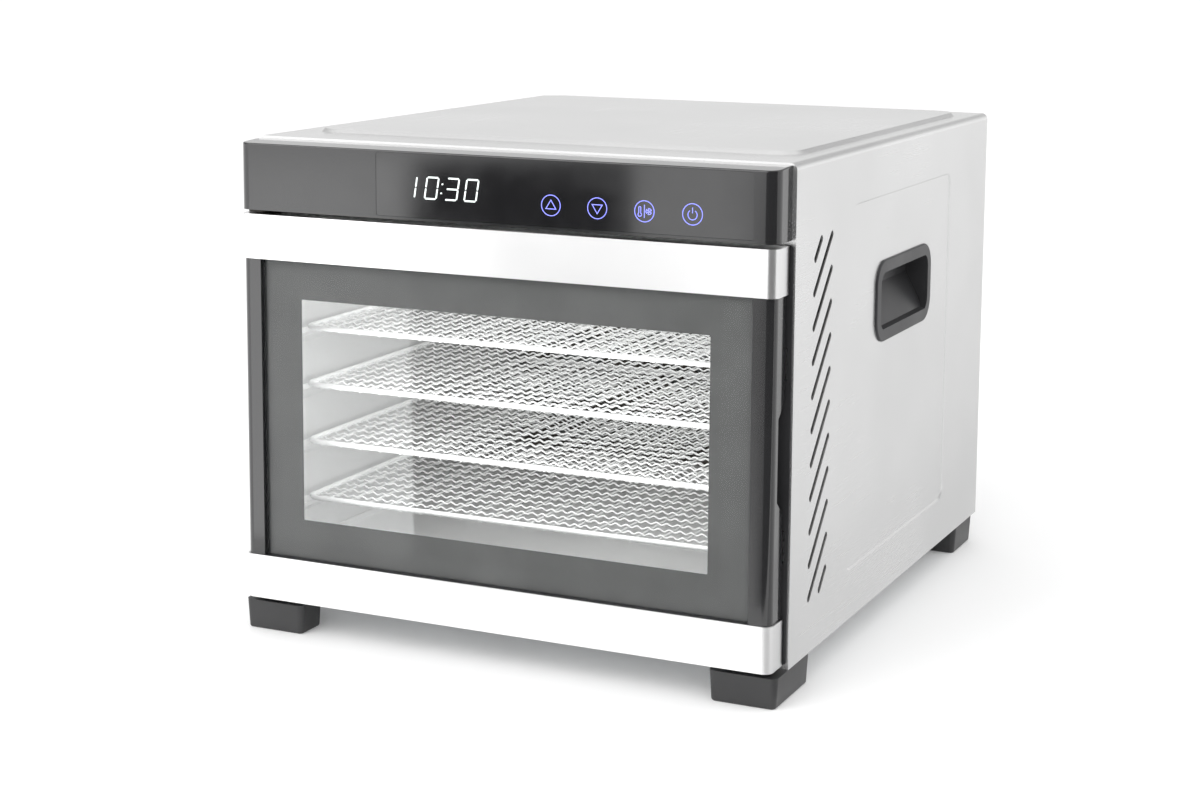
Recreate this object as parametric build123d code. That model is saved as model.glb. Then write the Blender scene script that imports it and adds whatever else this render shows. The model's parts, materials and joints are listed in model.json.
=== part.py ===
from build123d import *
import math
import os

# Front-loading food dehydrator, millimetres.
# X runs across the cabinet, Y from the door (-Y) to the fan housing (+Y), Z up.
# Origin: centre of the footprint, on the surface that the feet stand on.

# ---- driving dimensions -------------------------------------------------
DEPTH = 450.0                  # door front to the back of the fan housing
FOOT_HEIGHT = 18.0
COVER_WIDTH = 345.0            # outside of the steel side panels
COVER_HEIGHT = 282.0           # lower edge of the side panels to the top sheet
COVER_START = 22.0             # side panels' front edge, behind the door's front
COVER_END = 403.5              # side panels' rear edge
SHEET = 1.0                    # cabinet and liner sheet
DOOR_WIDTH = 340.0
DOOR_DEPTH = 18.5
DOOR_LOW, DOOR_HIGH = 3.2, 237.5
BAR_HEIGHT = 26.6              # steel cap along the door's top and bottom
WINDOW_HALF, WINDOW_LOW, WINDOW_HIGH = 130.5, 53.7, 187.6
PANEL_LOW, PANEL_HIGH = 240.0, 279.6
CHAMBER_HALF = 155.0           # inner face of the side liners
CHAMBER_LOW, CHAMBER_HIGH = 26.0, 236.0
CHAMBER_START, BAFFLE_AT, LINER_END = 30.0, 343.0, 402.0
TRAY_COUNT = 5
TRAY_FIRST, TRAY_PITCH = 58.2, 35.4   # height of the lowest tray's rods, and rise to the next
TRAY_START, TRAY_END, TRAY_HALF = 36.7, 337.0, 151.0
ROD_RADIUS = 1.6
MESH_ACROSS, MESH_ALONG = 13.8, 12.5  # spacing of the tray wires along X and along Y
WIRE = 1.2
PIVOT_X, PIVOT_DEPTH = -165.5, 12.5   # door hinge line
PIN_RADIUS, BUSH_RADIUS, RUNNING_GAP = 2.0, 3.1, 0.05
FAN_HEIGHT = 131.0
SHAFT_RADIUS = 3.0
HEATER_AT, HEATER_RADIUS = 366.0, 78.0
HANDLE_START, HANDLE_END, HANDLE_LOW, HANDLE_HIGH = 165.0, 275.7, 159.0, 209.0
GLASS_HALF = 154.7

HALF = COVER_WIDTH / 2
DOOR_HALF = DOOR_WIDTH / 2
TOP_BAR_LOW = DOOR_HIGH - BAR_HEIGHT
BOTTOM_BAR_HIGH = DOOR_LOW + BAR_HEIGHT


# ---- places and simple shapes ---------------------------------------------
def y(depth):
    """Model Y of a point this far behind the door's front face."""
    return depth - DEPTH / 2


def z(height):
    """Model Z of a point this far above the side panels' lower edge."""
    return height + FOOT_HEIGHT


def block(x0, x1, d0, d1, h0, h1):
    """Box between two X values, two depths and two heights."""
    size = Box(x1 - x0, d1 - d0, h1 - h0)
    return Pos((x0 + x1) / 2, y((d0 + d1) / 2), z((h0 + h1) / 2)) * size


def front_outline(x0, x1, h0, h1, radius=0.0):
    """Rectangle seen from the front, with round corners where a radius is given."""
    shape = RectangleRounded(x1 - x0, h1 - h0, radius) if radius else Rectangle(x1 - x0, h1 - h0)
    return Pos((x0 + x1) / 2, z((h0 + h1) / 2)) * shape


def front_prism(outline, d0, d1):
    """Prism of a front outline between two depths."""
    return extrude(Plane.XZ.offset(-y(d1)) * outline, amount=d1 - d0)


def plan_prism(outline, h0, h1, taper=0.0):
    """Prism of a plan outline between two heights."""
    return extrude(Plane.XY.offset(z(h0)) * outline, amount=h1 - h0, taper=taper)


def side_prism(outline, x0, x1):
    """Prism of a side outline (its X is model Y, its Y is model Z) between two X values."""
    return extrude(Plane.YZ.offset(x0) * outline, amount=x1 - x0)


def rod_y(x, height, radius, d0, d1):
    """Round bar along Y."""
    return front_prism(Pos(x, z(height)) * Circle(radius), d0, d1)


def rod_z(x, depth, radius, h0, h1):
    """Upright round bar."""
    return plan_prism(Pos(x, y(depth)) * Circle(radius), h0, h1)


def mirrored(shape):
    """The same shape on the other side of the cabinet."""
    return mirror(shape, about=Plane.YZ)


def pan_screw(shank, length, recess=True):
    """Pan head screw: the head's underside at the origin, the head towards +Z."""
    head = Pos(0, 0, 0.9) * Cylinder(shank * 2.0, 1.8)
    head = chamfer(head.edges().group_by(Axis.Z)[-1], 0.5)
    screw = head + Pos(0, 0, -length / 2) * Cylinder(shank, length)
    if recess:
        slot = Pos(0, 0, 1.5) * Box(shank * 2.4, 0.7, 1.2)
        screw -= slot + Rot(0, 0, 90) * slot
    return screw


def facing(shape, direction):
    """Turn a shape built along +Z so that its head looks along the named direction."""
    turn = {"back": Rot(-90, 0, 0), "front": Rot(90, 0, 0), "down": Rot(180, 0, 0)}
    return turn[direction] * shape


def group(shapes):
    """Several separate solids kept as one node."""
    return Compound(children=list(shapes))


# ---- positions that several parts share -----------------------------------------
TRAY_HEIGHTS = [TRAY_FIRST + TRAY_PITCH * level for level in range(TRAY_COUNT)]
FOOT_SCREWS = [(side * 152.0, depth) for side in (-1, 1) for depth in (38.0, 376.0)]
REAR_SCREWS = [(side * 163.0, height) for side in (-1, 1) for height in (20.0, 140.0, 262.0)]
HOUSING_SCREWS = [(sx * 92.0, FAN_HEIGHT + sz * 88.0) for sx in (-1, 1) for sz in (-1, 1)]
BAFFLE_SCREWS = [(sx * 144.0, FAN_HEIGHT + sz * 88.0) for sx in (-1, 1) for sz in (-1, 1)]
MOTOR_SCREWS = [(-27.0, FAN_HEIGHT), (27.0, FAN_HEIGHT)]
DOOR_SCREWS = [(side * 146.0, height) for side in (-1, 1) for height in (42.0, 199.0)]
MAGNETS = [70.0, 172.0]
BRACKET_HEIGHTS = (DOOR_LOW - 1.8, DOOR_HIGH + 0.4)
BOARD_SCREWS = [(-64.0, 248.0), (144.0, 248.0)]
INLET_X, INLET_HEIGHT = 118.0, 259.0


# ---- steel cabinet ------------------------------------------------------------
def side_slots(width):
    """Slanted air slots: ten long ones and a short one at each end of the column."""
    lean, rise, pitch = 27.9, 29.95, 19.37
    length, angle = math.hypot(lean, rise), math.degrees(math.atan2(rise, lean))
    lowest = (y(67.4), z(47.3))
    marks = [(lowest[0], lowest[1] + pitch * row, length) for row in range(10)]
    marks += [(y(76.1), z(38.0), 14.0), (y(58.9), z(231.0), 14.0)]
    return [Pos(a, b) * Rot(0, 0, angle) * SlotOverall(size + width, width) for a, b, size in marks]


def handle_outline(margin):
    """Rounded opening of the side handles, grown or shrunk by a margin."""
    width, height = HANDLE_END - HANDLE_START, HANDLE_HIGH - HANDLE_LOW
    centre = Pos(y((HANDLE_START + HANDLE_END) / 2), z((HANDLE_LOW + HANDLE_HIGH) / 2))
    return centre * RectangleRounded(width + 2 * margin, height + 2 * margin, 15 + margin)


def outer_cover():
    """One folded sheet: two sides, the top with its raised field, and narrow front and rear flanges."""
    outer = fillet(front_outline(-HALF, HALF, 0, COVER_HEIGHT).vertices().group_by(Axis.Y)[-1], 4)
    inner = front_outline(-HALF + SHEET, HALF - SHEET, -1, COVER_HEIGHT - SHEET)
    inner = fillet(inner.vertices().group_by(Axis.Y)[-1], 3)
    flange = front_outline(-HALF + 9, HALF - 9, -1, COVER_HEIGHT - 9)
    cover = front_prism(outer - inner, COVER_START, COVER_END)
    for start in (COVER_START, COVER_END - SHEET):
        cover += front_prism((outer - flange) & outer, start, start + SHEET)

    field_x, field_d = 158.0, (60.0, 388.0)
    field = Pos(0, y(sum(field_d) / 2)) * RectangleRounded(2 * field_x, field_d[1] - field_d[0], 18)
    cover += plan_prism(field, COVER_HEIGHT, COVER_HEIGHT + 2, taper=45)
    cover -= plan_prism(offset(field, -0.6), COVER_HEIGHT - SHEET - 0.01, COVER_HEIGHT + 1, taper=45)

    recess_start, recess_end, recess_low, recess_high = 117.5, 318.8, 30.2, 249.4
    recess = Pos(y((recess_start + recess_end) / 2), z((recess_low + recess_high) / 2)) * RectangleRounded(
        recess_end - recess_start, recess_high - recess_low, 9
    )
    relief, slope = 0.8, 55
    pressed = side_prism(offset(recess, 0.6), HALF - SHEET - relief, HALF - SHEET)
    hollow = extrude(Plane.YZ.offset(HALF) * recess, amount=-relief, taper=slope)
    openings = side_prism(Sketch() + side_slots(4.2) + handle_outline(-5), HALF - 4, HALF + 4)
    for turn in (lambda shape: shape, mirrored):
        cover += turn(pressed)
        for cut in (hollow, openings):
            cover -= turn(cut)
    for x, height in REAR_SCREWS:
        cover -= rod_y(x, height, 1.7, COVER_END - 3, COVER_END + 1)
    for low in BRACKET_HEIGHTS:
        cover -= block(-171, -154, COVER_START - 1, COVER_START + 2, low - 0.1, low + 1.5)
    return cover


def base_plate():
    """Floor of the cabinet: a sheet with turned-up edges, air slots and the foot screw holes."""
    edge = HALF - SHEET - 0.1
    plate = block(-edge, edge, 24, LINER_END - 0.5, 0, 1.2)
    for x in (-edge, edge - 1.2):
        plate += block(x, x + 1.2, 24, LINER_END - 0.5, 0, 14)
    plate += block(-edge, edge, LINER_END - 1.7, LINER_END - 0.5, 0, 14)
    for row in range(9):
        slot = Pos(0, y(150 + 16 * row)) * SlotOverall(120, 3.6)
        plate -= plan_prism(slot, -1, 3)
    for x, depth in FOOT_SCREWS:
        plate -= rod_z(x, depth, 2.0, -1, 4)
    return plate


def rear_panel():
    """Back wall behind the flange of the cover, with the motor, inlet and vent openings."""
    panel = block(-HALF + 2, HALF - 2, LINER_END - 0.4, LINER_END + 0.4, 14.3, COVER_HEIGHT - 4)
    cuts = [Pos(0, z(FAN_HEIGHT)) * Circle(17)]
    cuts += [Pos(x, z(height)) * Circle(1.6) for x, height in REAR_SCREWS + HOUSING_SCREWS]
    cuts += [Pos(x, z(height)) * Circle(2.0) for x, height in MOTOR_SCREWS]
    cuts += [Pos(0, z(238 + 7 * row)) * SlotOverall(150, 3.4) for row in range(5)]
    panel -= front_prism(Sketch() + cuts, LINER_END - 2, LINER_END + 2)
    panel -= block(INLET_X - 13.8, INLET_X + 13.8, LINER_END - 2, LINER_END + 2,
                   INLET_HEIGHT - 9.8, INLET_HEIGHT + 9.8)
    return panel


def rear_housing():
    """Box over the fan motor, with a grille of slots in its back and vents in its sides."""
    front, back, wall = COVER_END + 0.1, DEPTH, 2.0
    outline = front_outline(-100, 100, FAN_HEIGHT - 96, FAN_HEIGHT + 96, 16)
    shell = front_prism(outline, front, back)
    shell = fillet(shell.edges().group_by(Axis.Y)[-1], 5)
    shell -= front_prism(offset(outline, -wall), front - 1, back - wall)
    for x, height in HOUSING_SCREWS:
        post = rod_y(x, height, 4.2, front, back - wall)
        shell += post & front_prism(outline, front, back - 1)
        shell -= rod_y(x, height, 1.5, front - 1, front + 14)
    slots = Sketch()
    for row in range(-8, 9):
        height = 8.0 * row
        reach = math.sqrt(72.0 ** 2 - height ** 2)
        slots += Pos(0, z(FAN_HEIGHT + height)) * SlotOverall(2 * reach, 3.6)
    ribs = front_outline(-3, 3, FAN_HEIGHT - 80, FAN_HEIGHT + 80)
    shell -= front_prism(slots - ribs, back - wall - 1, back + 1)
    vents = Sketch()
    for row in range(-6, 7):
        vents += Pos(y((front + back) / 2), z(FAN_HEIGHT + 9 * row)) * SlotOverall(24, 3.4)
    shell -= side_prism(vents, -110, 110)
    return shell


def foot(depth0, depth1, corner_cut=0.0):
    """Tapered moulded foot under the right-hand side, with a sunk screw hole.

    The corner towards the cabinet's middle can be cut off behind."""
    inner, outer = 132.0, 172.5
    outline = Pos((inner + outer) / 2, y((depth0 + depth1) / 2)) * Rectangle(outer - inner, depth1 - depth0)
    if corner_cut:
        hidden = outline.vertices().sort_by(Axis.X)[:2].sort_by(Axis.Y)[-1]
        edge = outline.edges().sort_by(Axis.X)[0]
        outline = chamfer(hidden, corner_cut * 1.2, corner_cut * 0.8, reference=edge)
    outline = fillet(outline.vertices(), 4)
    body = extrude(Plane.XY.offset(z(0)) * outline, amount=-FOOT_HEIGHT, taper=3.5)
    body = fillet(body.edges().group_by(Axis.Z)[0], 1.6)
    for x, depth in FOOT_SCREWS:
        body -= rod_z(x, depth, 2.0, -FOOT_HEIGHT - 1, 1)
        body -= rod_z(x, depth, 5.0, -FOOT_HEIGHT - 1, -6)
    return body


def front_frame():
    """Black moulding round the chamber's mouth, with a lip that goes back to the liners."""
    outline = front_outline(-171.6, 171.6, DOOR_LOW, DOOR_HIGH, 2)
    mouth = front_outline(-CHAMBER_HALF + 2, CHAMBER_HALF - 2, CHAMBER_LOW + 1.5, CHAMBER_HIGH - 6, 3)
    frame = front_prism(outline - mouth, 20.5, COVER_START)
    frame += front_prism(offset(mouth, 1.6) - mouth, COVER_START, CHAMBER_START - 0.2)
    groove = front_outline(-158.4, 158.4, 20.1, 233.8, 5)
    frame -= front_prism(groove - offset(groove, -3.0), 20.5 - 1, 21.3)
    for height in MAGNETS:
        frame -= block(160.6, 169.4, 20.0, 21.5, height - 9.1, height + 9.1)
    return frame


def door_seal():
    """Soft ring in the front frame's groove that the closed door presses on."""
    groove = front_outline(-158.3, 158.3, 20.2, 233.7, 4.9)
    ring = front_prism(groove - offset(groove, -2.8), 19.0, 21.25)
    return fillet(ring.edges().group_by(Axis.Y)[0], 0.8)


def catch_plates():
    """Two steel plates in the front frame that the door magnets hold."""
    plates = [block(160.7, 169.3, 20.4, 21.45, height - 9, height + 9) for height in MAGNETS]
    return group(chamfer(plate.edges().filter_by(Axis.Y), 1) for plate in plates)


# ---- drying chamber ---------------------------------------------------------------
def liner():
    """Right-hand chamber wall, with a pressed ledge under each tray."""
    wall = block(CHAMBER_HALF, CHAMBER_HALF + SHEET, CHAMBER_START, LINER_END - 0.5,
                 CHAMBER_LOW - 6, CHAMBER_HIGH)
    reach, tall = 7.0, 9.0
    for height in TRAY_HEIGHTS:
        top = z(height - ROD_RADIUS - 0.1)
        edge = CHAMBER_HALF + 0.001
        ledge = make_face(Polyline((edge, top), (edge - reach, top - 1.2), (edge - reach, top - 3.4),
                                   (edge, top - tall), close=True))
        inside = make_face(Polyline((edge + 2, top - 1.3), (edge - reach + 1, top - 2.2),
                                    (edge - reach + 1, top - 3.0), (edge + 2, top - tall + 0.3),
                                    close=True))
        wall += front_prism(ledge, CHAMBER_START + 2, BAFFLE_AT - 2)
        wall -= front_prism(inside, CHAMBER_START + 1, BAFFLE_AT - 1)
    return wall


def chamber_roof():
    """Sheet over the trays, between the side liners and the electronics."""
    roof = block(-CHAMBER_HALF - SHEET, CHAMBER_HALF + SHEET, CHAMBER_START, LINER_END - 0.5,
                 CHAMBER_HIGH + 0.05, CHAMBER_HIGH + 0.05 + SHEET)
    roof += block(-CHAMBER_HALF + 2, CHAMBER_HALF - 2, CHAMBER_START, CHAMBER_START + SHEET,
                  CHAMBER_HIGH + 0.05, CHAMBER_HIGH + 8)
    return roof


def chamber_floor():
    """Brushed drip plate on the chamber's floor, with low turned-up sides."""
    edge = CHAMBER_HALF - 0.3
    plate = block(-edge, edge, CHAMBER_START + 0.5, LINER_END - 0.6, CHAMBER_LOW - 1.2, CHAMBER_LOW)
    for x in (-edge, edge - 1.0):
        plate += block(x, x + 1.0, CHAMBER_START + 0.5, BAFFLE_AT - 0.3, CHAMBER_LOW - 1.2, CHAMBER_LOW + 4)
    return plate


def rear_baffle():
    """Perforated guard between the trays and the fan."""
    plate = block(-CHAMBER_HALF + 0.2, CHAMBER_HALF - 0.2, BAFFLE_AT, BAFFLE_AT + SHEET,
                  CHAMBER_LOW + 0.2, CHAMBER_HIGH - 0.2)
    holes = []
    for ring in range(1, 7):
        count = 8 * ring
        for step in range(count):
            turn = 2 * math.pi * (step + ring / 2) / count
            place = Pos(9.5 * ring * math.cos(turn), z(FAN_HEIGHT) + 9.5 * ring * math.sin(turn))
            holes.append(place * Circle(2.6))
    for column in (-1, 1):
        for row in range(14):
            holes.append(Pos(column * 112, z(CHAMBER_LOW + 14 + 14 * row)) * SlotOverall(44, 5))
    holes += [Pos(x, z(height)) * Circle(1.6) for x, height in BAFFLE_SCREWS]
    return plate - front_prism(Sketch() + holes, BAFFLE_AT - 1, BAFFLE_AT + 2)


def spacers():
    """Four posts that hold the guard off the rear panel and two tubes that hold the motor off it."""
    front, back = BAFFLE_AT + SHEET + 0.02, LINER_END - 0.42
    posts = [rod_y(x, height, 4, front, back) - rod_y(x, height, 1.55, front, front + 15)
             for x, height in BAFFLE_SCREWS]
    front, back = LINER_END + 0.42, 411.9
    posts += [rod_y(x, height, 4, front, back) - rod_y(x, height, 2.0, front - 1, back + 1)
              for x, height in MOTOR_SCREWS]
    return group(posts)


# ---- trays -----------------------------------------------------------------------------
def tray(height):
    """Welded wire tray: a round rod bent into a rectangle and a flat grid of thin wires."""
    x, d0, d1 = TRAY_HALF - ROD_RADIUS, TRAY_START + ROD_RADIUS, TRAY_END - ROD_RADIUS
    outline = Pos(0, y((d0 + d1) / 2)) * RectangleRounded(2 * x, d1 - d0, 8)
    path = (Plane.XY.offset(z(height)) * outline).wire()
    start = Plane(origin=path @ 0, z_dir=path % 0)
    frame = sweep(start * Circle(ROD_RADIUS), path=path)

    columns = range(-int(x // MESH_ACROSS), int(x // MESH_ACROSS) + 1)
    rows = range(1, int((d1 - d0) // MESH_ALONG) + 1)
    wires = Sketch()
    wires += [Pos(MESH_ACROSS * k, y((d0 + d1) / 2)) * Rectangle(WIRE, d1 - d0) for k in columns]
    wires += [Pos(0, y(d0 + MESH_ALONG * k)) * Rectangle(2 * x, WIRE) for k in rows]
    grid = plan_prism(wires, height - WIRE / 2, height + WIRE / 2)
    return frame + grid


# ---- fan and heater ----------------------------------------------------------------------
def impeller():
    """Sheet metal fan wheel: a disc, a hub and fourteen leaning blades."""
    front, back, radius = 352.0, 380.0, 62.0
    wheel = rod_y(0, FAN_HEIGHT, radius, back - 1.2, back)
    wheel += rod_y(0, FAN_HEIGHT, 9, back - 14, back)
    blade = block(26, radius - 1, -0.6, 0.6, 0, back - front)
    for step in range(14):
        lean = Rot(0, 0, 360 / 14 * step) * Pos(0, 9, 0)
        upright = Pos(0, -y(0), -z(0)) * blade
        wheel += Pos(0, y(back - 0.6), z(FAN_HEIGHT)) * Rot(90, 0, 0) * lean * upright
    return wheel - rod_y(0, FAN_HEIGHT, SHAFT_RADIUS, back - 15, back + 1)


def fan_shaft():
    """Motor shaft, from the impeller's nut to the rear bearing."""
    return rod_y(0, FAN_HEIGHT, SHAFT_RADIUS, 356, 444)


def impeller_nut():
    """Hexagon nut that clamps the impeller."""
    nut = front_prism(Pos(0, z(FAN_HEIGHT)) * RegularPolygon(6.5, 6), 360.5, 365.9)
    return nut - rod_y(0, FAN_HEIGHT, SHAFT_RADIUS, 355, 370)


def motor_rotor():
    """Rotor pressed on the shaft inside the stator."""
    return rod_y(0, FAN_HEIGHT, 13, 417, 437) - rod_y(0, FAN_HEIGHT, SHAFT_RADIUS, 415, 440)


def motor_core():
    """Laminated stator with the rotor's bore and the window that the coil sits in."""
    outline = front_outline(-32, 32, FAN_HEIGHT - 44, FAN_HEIGHT + 26, 3)
    bore = Pos(0, z(FAN_HEIGHT)) * Circle(13.6)
    window = front_outline(-24, 24, FAN_HEIGHT - 36, FAN_HEIGHT - 18)
    leg = front_outline(-7, 7, FAN_HEIGHT - 37, FAN_HEIGHT - 17)
    core = front_prism(outline - bore - (window - leg), 417, 437)
    for x, height in MOTOR_SCREWS:
        core -= rod_y(x, height, 2.0, 415, 440)
    return core


def motor_coil():
    """Copper winding round the stator's lower leg."""
    around = front_outline(-20, 20, FAN_HEIGHT - 35, FAN_HEIGHT - 19, 2)
    leg = block(-7.2, 7.2, 416.8, 437.2, FAN_HEIGHT - 40, FAN_HEIGHT - 10)
    return front_prism(around, 411, 443) - leg


def motor_brackets():
    """Two bridges across the motor, each with the seat of a plain bearing."""
    bridges = []
    for front in (412.0, 438.0):
        bridge = front_prism(Pos(0, z(FAN_HEIGHT)) * SlotOverall(76, 15), front, front + 4)
        bridge -= rod_y(0, FAN_HEIGHT, 6.0, front - 1, front + 5)
        for x, height in MOTOR_SCREWS:
            bridge -= rod_y(x, height, 2.0, front - 1, front + 5)
        bridges.append(bridge)
    return group(bridges)


def motor_bearings():
    """Two plain bushes that the shaft turns in."""
    bushes = []
    for front in (412.0, 438.0):
        bush = rod_y(0, FAN_HEIGHT, 6.0, front, front + 4)
        bushes.append(bush - rod_y(0, FAN_HEIGHT, SHAFT_RADIUS + RUNNING_GAP, front - 1, front + 5))
    return group(bushes)


def heater_element():
    """Sheathed heating ring round the impeller, with two legs through to its terminals."""
    tube, sleeve, leg = 3.2, 3.8, 10.0
    half_gap = math.degrees(math.asin(leg / HEATER_RADIUS))
    section = Plane.XZ * Pos(HEATER_RADIUS, 0) * Circle(tube)
    ring = revolve(section, Axis.Z, revolution_arc=360 - 2 * half_gap)
    ring = Pos(0, y(HEATER_AT), z(FAN_HEIGHT)) * Rot(90, 0, 0) * Rot(0, 0, half_gap - 90) * ring
    drop = FAN_HEIGHT - math.sqrt(HEATER_RADIUS ** 2 - leg ** 2)
    for x in (-leg, leg):
        ring += rod_y(x, drop, sleeve, HEATER_AT - sleeve, LINER_END - 6)
    return ring


def heater_clips():
    """Two studs that carry the heating ring on the rear panel."""
    clips = []
    for angle in (30, 150):
        x = HEATER_RADIUS * math.cos(math.radians(angle))
        height = FAN_HEIGHT + HEATER_RADIUS * math.sin(math.radians(angle))
        clips.append(rod_y(x, height, 2.5, HEATER_AT + 3.4, LINER_END - 0.42))
    return group(clips)


def thermal_cutout():
    """Disc thermostat on the rear panel, beside the fan."""
    body = rod_y(104, FAN_HEIGHT + 40, 8.5, LINER_END - 9, LINER_END - 0.45)
    return body + rod_y(104, FAN_HEIGHT + 40, 5, LINER_END - 13, LINER_END - 9)


def temperature_probe():
    """Slim probe under the roof, in front of the guard."""
    return rod_z(60, 300, 2.4, CHAMBER_HIGH - 16, CHAMBER_HIGH)


# ---- electrics ---------------------------------------------------------------------------
def power_inlet():
    """Appliance inlet in the rear panel: a flanged shell round three flat contacts."""
    x, height = INLET_X, INLET_HEIGHT
    front, face = LINER_END - 16, LINER_END + 0.45
    body = block(x - 13.6, x + 13.6, front, face, height - 9.6, height + 9.6)
    body += front_prism(front_outline(x - 18, x + 18, height - 8.8, height + 12.8, 2), face, face + 0.9)
    body -= block(x - 12.0, x + 12.0, front + 2, face + 3, height - 8.0, height + 8.0)
    return body


def inlet_contacts():
    """Line, neutral and earth blades of the inlet."""
    front = LINER_END - 14
    places = [(-7.0, -1.0), (7.0, -1.0), (0.0, 3.0)]
    return group(block(INLET_X + x - 1, INLET_X + x + 1, front + 0.01, front + 11,
                       INLET_HEIGHT + h - 1.5, INLET_HEIGHT + h + 1.5) for x, h in places)


def control_housing():
    """Glossy moulding above the door, open behind, with a seat for the display glass."""
    top_back = COVER_HEIGHT - 1.2
    outline = Pos(0, y(COVER_START / 2)) * Rectangle(DOOR_WIDTH, COVER_START - 0.1)
    outline = fillet(outline.vertices().group_by(Axis.Y)[0], 6.9)
    body = plan_prism(outline, PANEL_LOW, top_back)
    slope = make_face(Polyline((y(-2), z(PANEL_HIGH - 0.15)), (y(COVER_START + 1), z(top_back)),
                               (y(COVER_START + 1), z(top_back + 5)), (y(-2), z(top_back + 5)), close=True))
    body -= side_prism(slope, -HALF - 5, HALF + 5)
    body = fillet(body.edges().filter_by(lambda edge: edge.center().Y < y(7)
                                         and edge.center().Z > z(PANEL_HIGH - 1)
                                         and edge.length > 8), 0.9)
    body -= plan_prism(offset(outline, -2.2), PANEL_LOW + 2, PANEL_HIGH - 2.4)
    body -= block(-DOOR_HALF + 4, DOOR_HALF - 4, 12, COVER_START + 1, PANEL_LOW + 2, PANEL_HIGH - 2.4)
    body -= front_prism(front_outline(-76.1, 156.6, 241.7, 278.4, 1.6), -1, 1.9)
    body -= front_prism(front_outline(-71, 151.5, 245, 275, 1), -1, 4)
    return body


def display_glass():
    """Dark panel flush in the control housing."""
    return front_prism(front_outline(-76.0, 156.5, 241.8, 278.3, 1.5), 0.25, 1.85)


def control_board():
    """Touch and display circuit board behind the glass."""
    board = block(-70, 150.5, 9, 10.6, 244.5, 275)
    for x, height in BOARD_SCREWS:
        board -= rod_y(x, height, 1.6, 8, 12)
    return board


def display_module():
    """Four digit display block on the circuit board."""
    return block(-56, -4, 2.1, 8.95, 250.5, 270.5)


def touch_pads():
    """Four sprung electrodes between the board and the glass, one behind each touch symbol."""
    return group(rod_y(37.3 + 28.35 * k, 255.0, 5.2, 2.1, 8.95) for k in range(4))


def power_board():
    """Power circuit board with its relay, capacitor and transformer, above the chamber."""
    base = CHAMBER_HIGH + 6
    board = block(-120, -20, 80, 160, base, base + 1.6)
    board += block(-112, -92, 90, 118, base + 1.6, base + 20)
    board += block(-60, -32, 88, 120, base + 1.6, base + 26)
    board += rod_z(-76, 140, 7, base + 1.6, base + 22)
    for x, depth in ((-115, 85), (-25, 85), (-115, 155), (-25, 155)):
        board += rod_z(x, depth, 2.5, CHAMBER_HIGH + 0.05 + SHEET, base)
    return board


# ---- side handles ------------------------------------------------------------------------------
def handle_cup():
    """Recessed grip in the right side: a flange outside and a pocket that deepens towards its top."""
    skin = HALF - 0.8
    flange = side_prism(handle_outline(0), skin, skin + 1.5)
    flange = fillet(flange.edges().group_by(Axis.X)[-1], 1.0)
    plug = side_prism(handle_outline(-5.2), CHAMBER_HALF + SHEET + 0.4, skin + 0.2)
    cup = flange + plug
    low, high, mouth = z(HANDLE_LOW + 7.4), z(HANDLE_HIGH - 7.4), HALF + 2
    bottom = CHAMBER_HALF + SHEET + 2.2
    profile = make_face(Polyline((mouth, low), (HALF - 2.8, low + 1.5), (bottom, high - 12), (bottom, high),
                                 (mouth, high), close=True))
    inside = side_prism(handle_outline(-7.4), CHAMBER_HALF, HALF + 4)
    pocket = front_prism(profile, HANDLE_START, HANDLE_END) & inside
    return cup - pocket


# ---- door ----------------------------------------------------------------------------------------
def door_plan(inset):
    """Door outline seen from above: square behind, round front corners."""
    outline = Pos(0, y(DOOR_DEPTH / 2 + inset / 2)) * Rectangle(DOOR_WIDTH - 2 * inset, DOOR_DEPTH - inset)
    return fillet(outline.vertices().group_by(Axis.Y)[0], 5.4 - inset * 0.6)


def door_bar(low, high, hole_side):
    """Steel cap along one end of the door: front, ends and the edge that faces away from the window."""
    wall = 1.0
    bar = plan_prism(door_plan(0), low, high)
    inner_low, inner_high = (low + wall, high + 1) if hole_side < 0 else (low - 1, high - wall)
    bar -= plan_prism(door_plan(wall) + Pos(0, y(DOOR_DEPTH)) * Rectangle(DOOR_WIDTH - 2 * wall, 6),
                      inner_low, inner_high)
    edge = low if hole_side < 0 else high
    bar -= rod_z(PIVOT_X, PIVOT_DEPTH, PIN_RADIUS + 0.6, edge - 3, edge + 3)
    return bar


def rail_outline():
    """Right-hand door rail seen from above, with its round outer corner."""
    inner, outer = 156.3, DOOR_HALF - 1
    outline = Pos((inner + outer) / 2, y((1 + DOOR_DEPTH) / 2)) * Rectangle(outer - inner, DOOR_DEPTH - 1)
    corner = outline.vertices().group_by(Axis.X)[-1].sort_by(Axis.Y)
    return fillet([corner[0]], 5.0)


def door_rail(side):
    """Black upright beside the glass. The right one has the finger grip cut in its rear outer edge."""
    rail = plan_prism(rail_outline(), BOTTOM_BAR_HIGH + 0.1, TOP_BAR_LOW - 0.1)
    if side < 0:
        return mirrored(rail)
    low, high = 90.5, 150.9
    grip = make_face(Polyline((y(19), z(low - 2)), (y(9), z(low + 7)), (y(9), z(high - 7)),
                              (y(19), z(high + 2)), close=True))
    rail -= side_prism(grip, 159.5, DOOR_HALF + 2)
    for height in MAGNETS:
        rail -= rod_y(163.5, height, 4.6, 12, DOOR_DEPTH + 1)
    return rail


def door_magnets():
    """Two magnets let into the right rail."""
    return group(rod_y(163.5, height, 4.5, 12.1, DOOR_DEPTH - 0.2) for height in MAGNETS)


def door_glass():
    """Toughened glass front between the steel caps and the rails."""
    outline = front_outline(-GLASS_HALF, GLASS_HALF, BOTTOM_BAR_HIGH + 0.6, TOP_BAR_LOW - 0.6)
    pane = front_prism(outline, 1.2, 5.0)
    return chamfer(pane.edges().group_by(Axis.Y)[0], 0.3)


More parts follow.
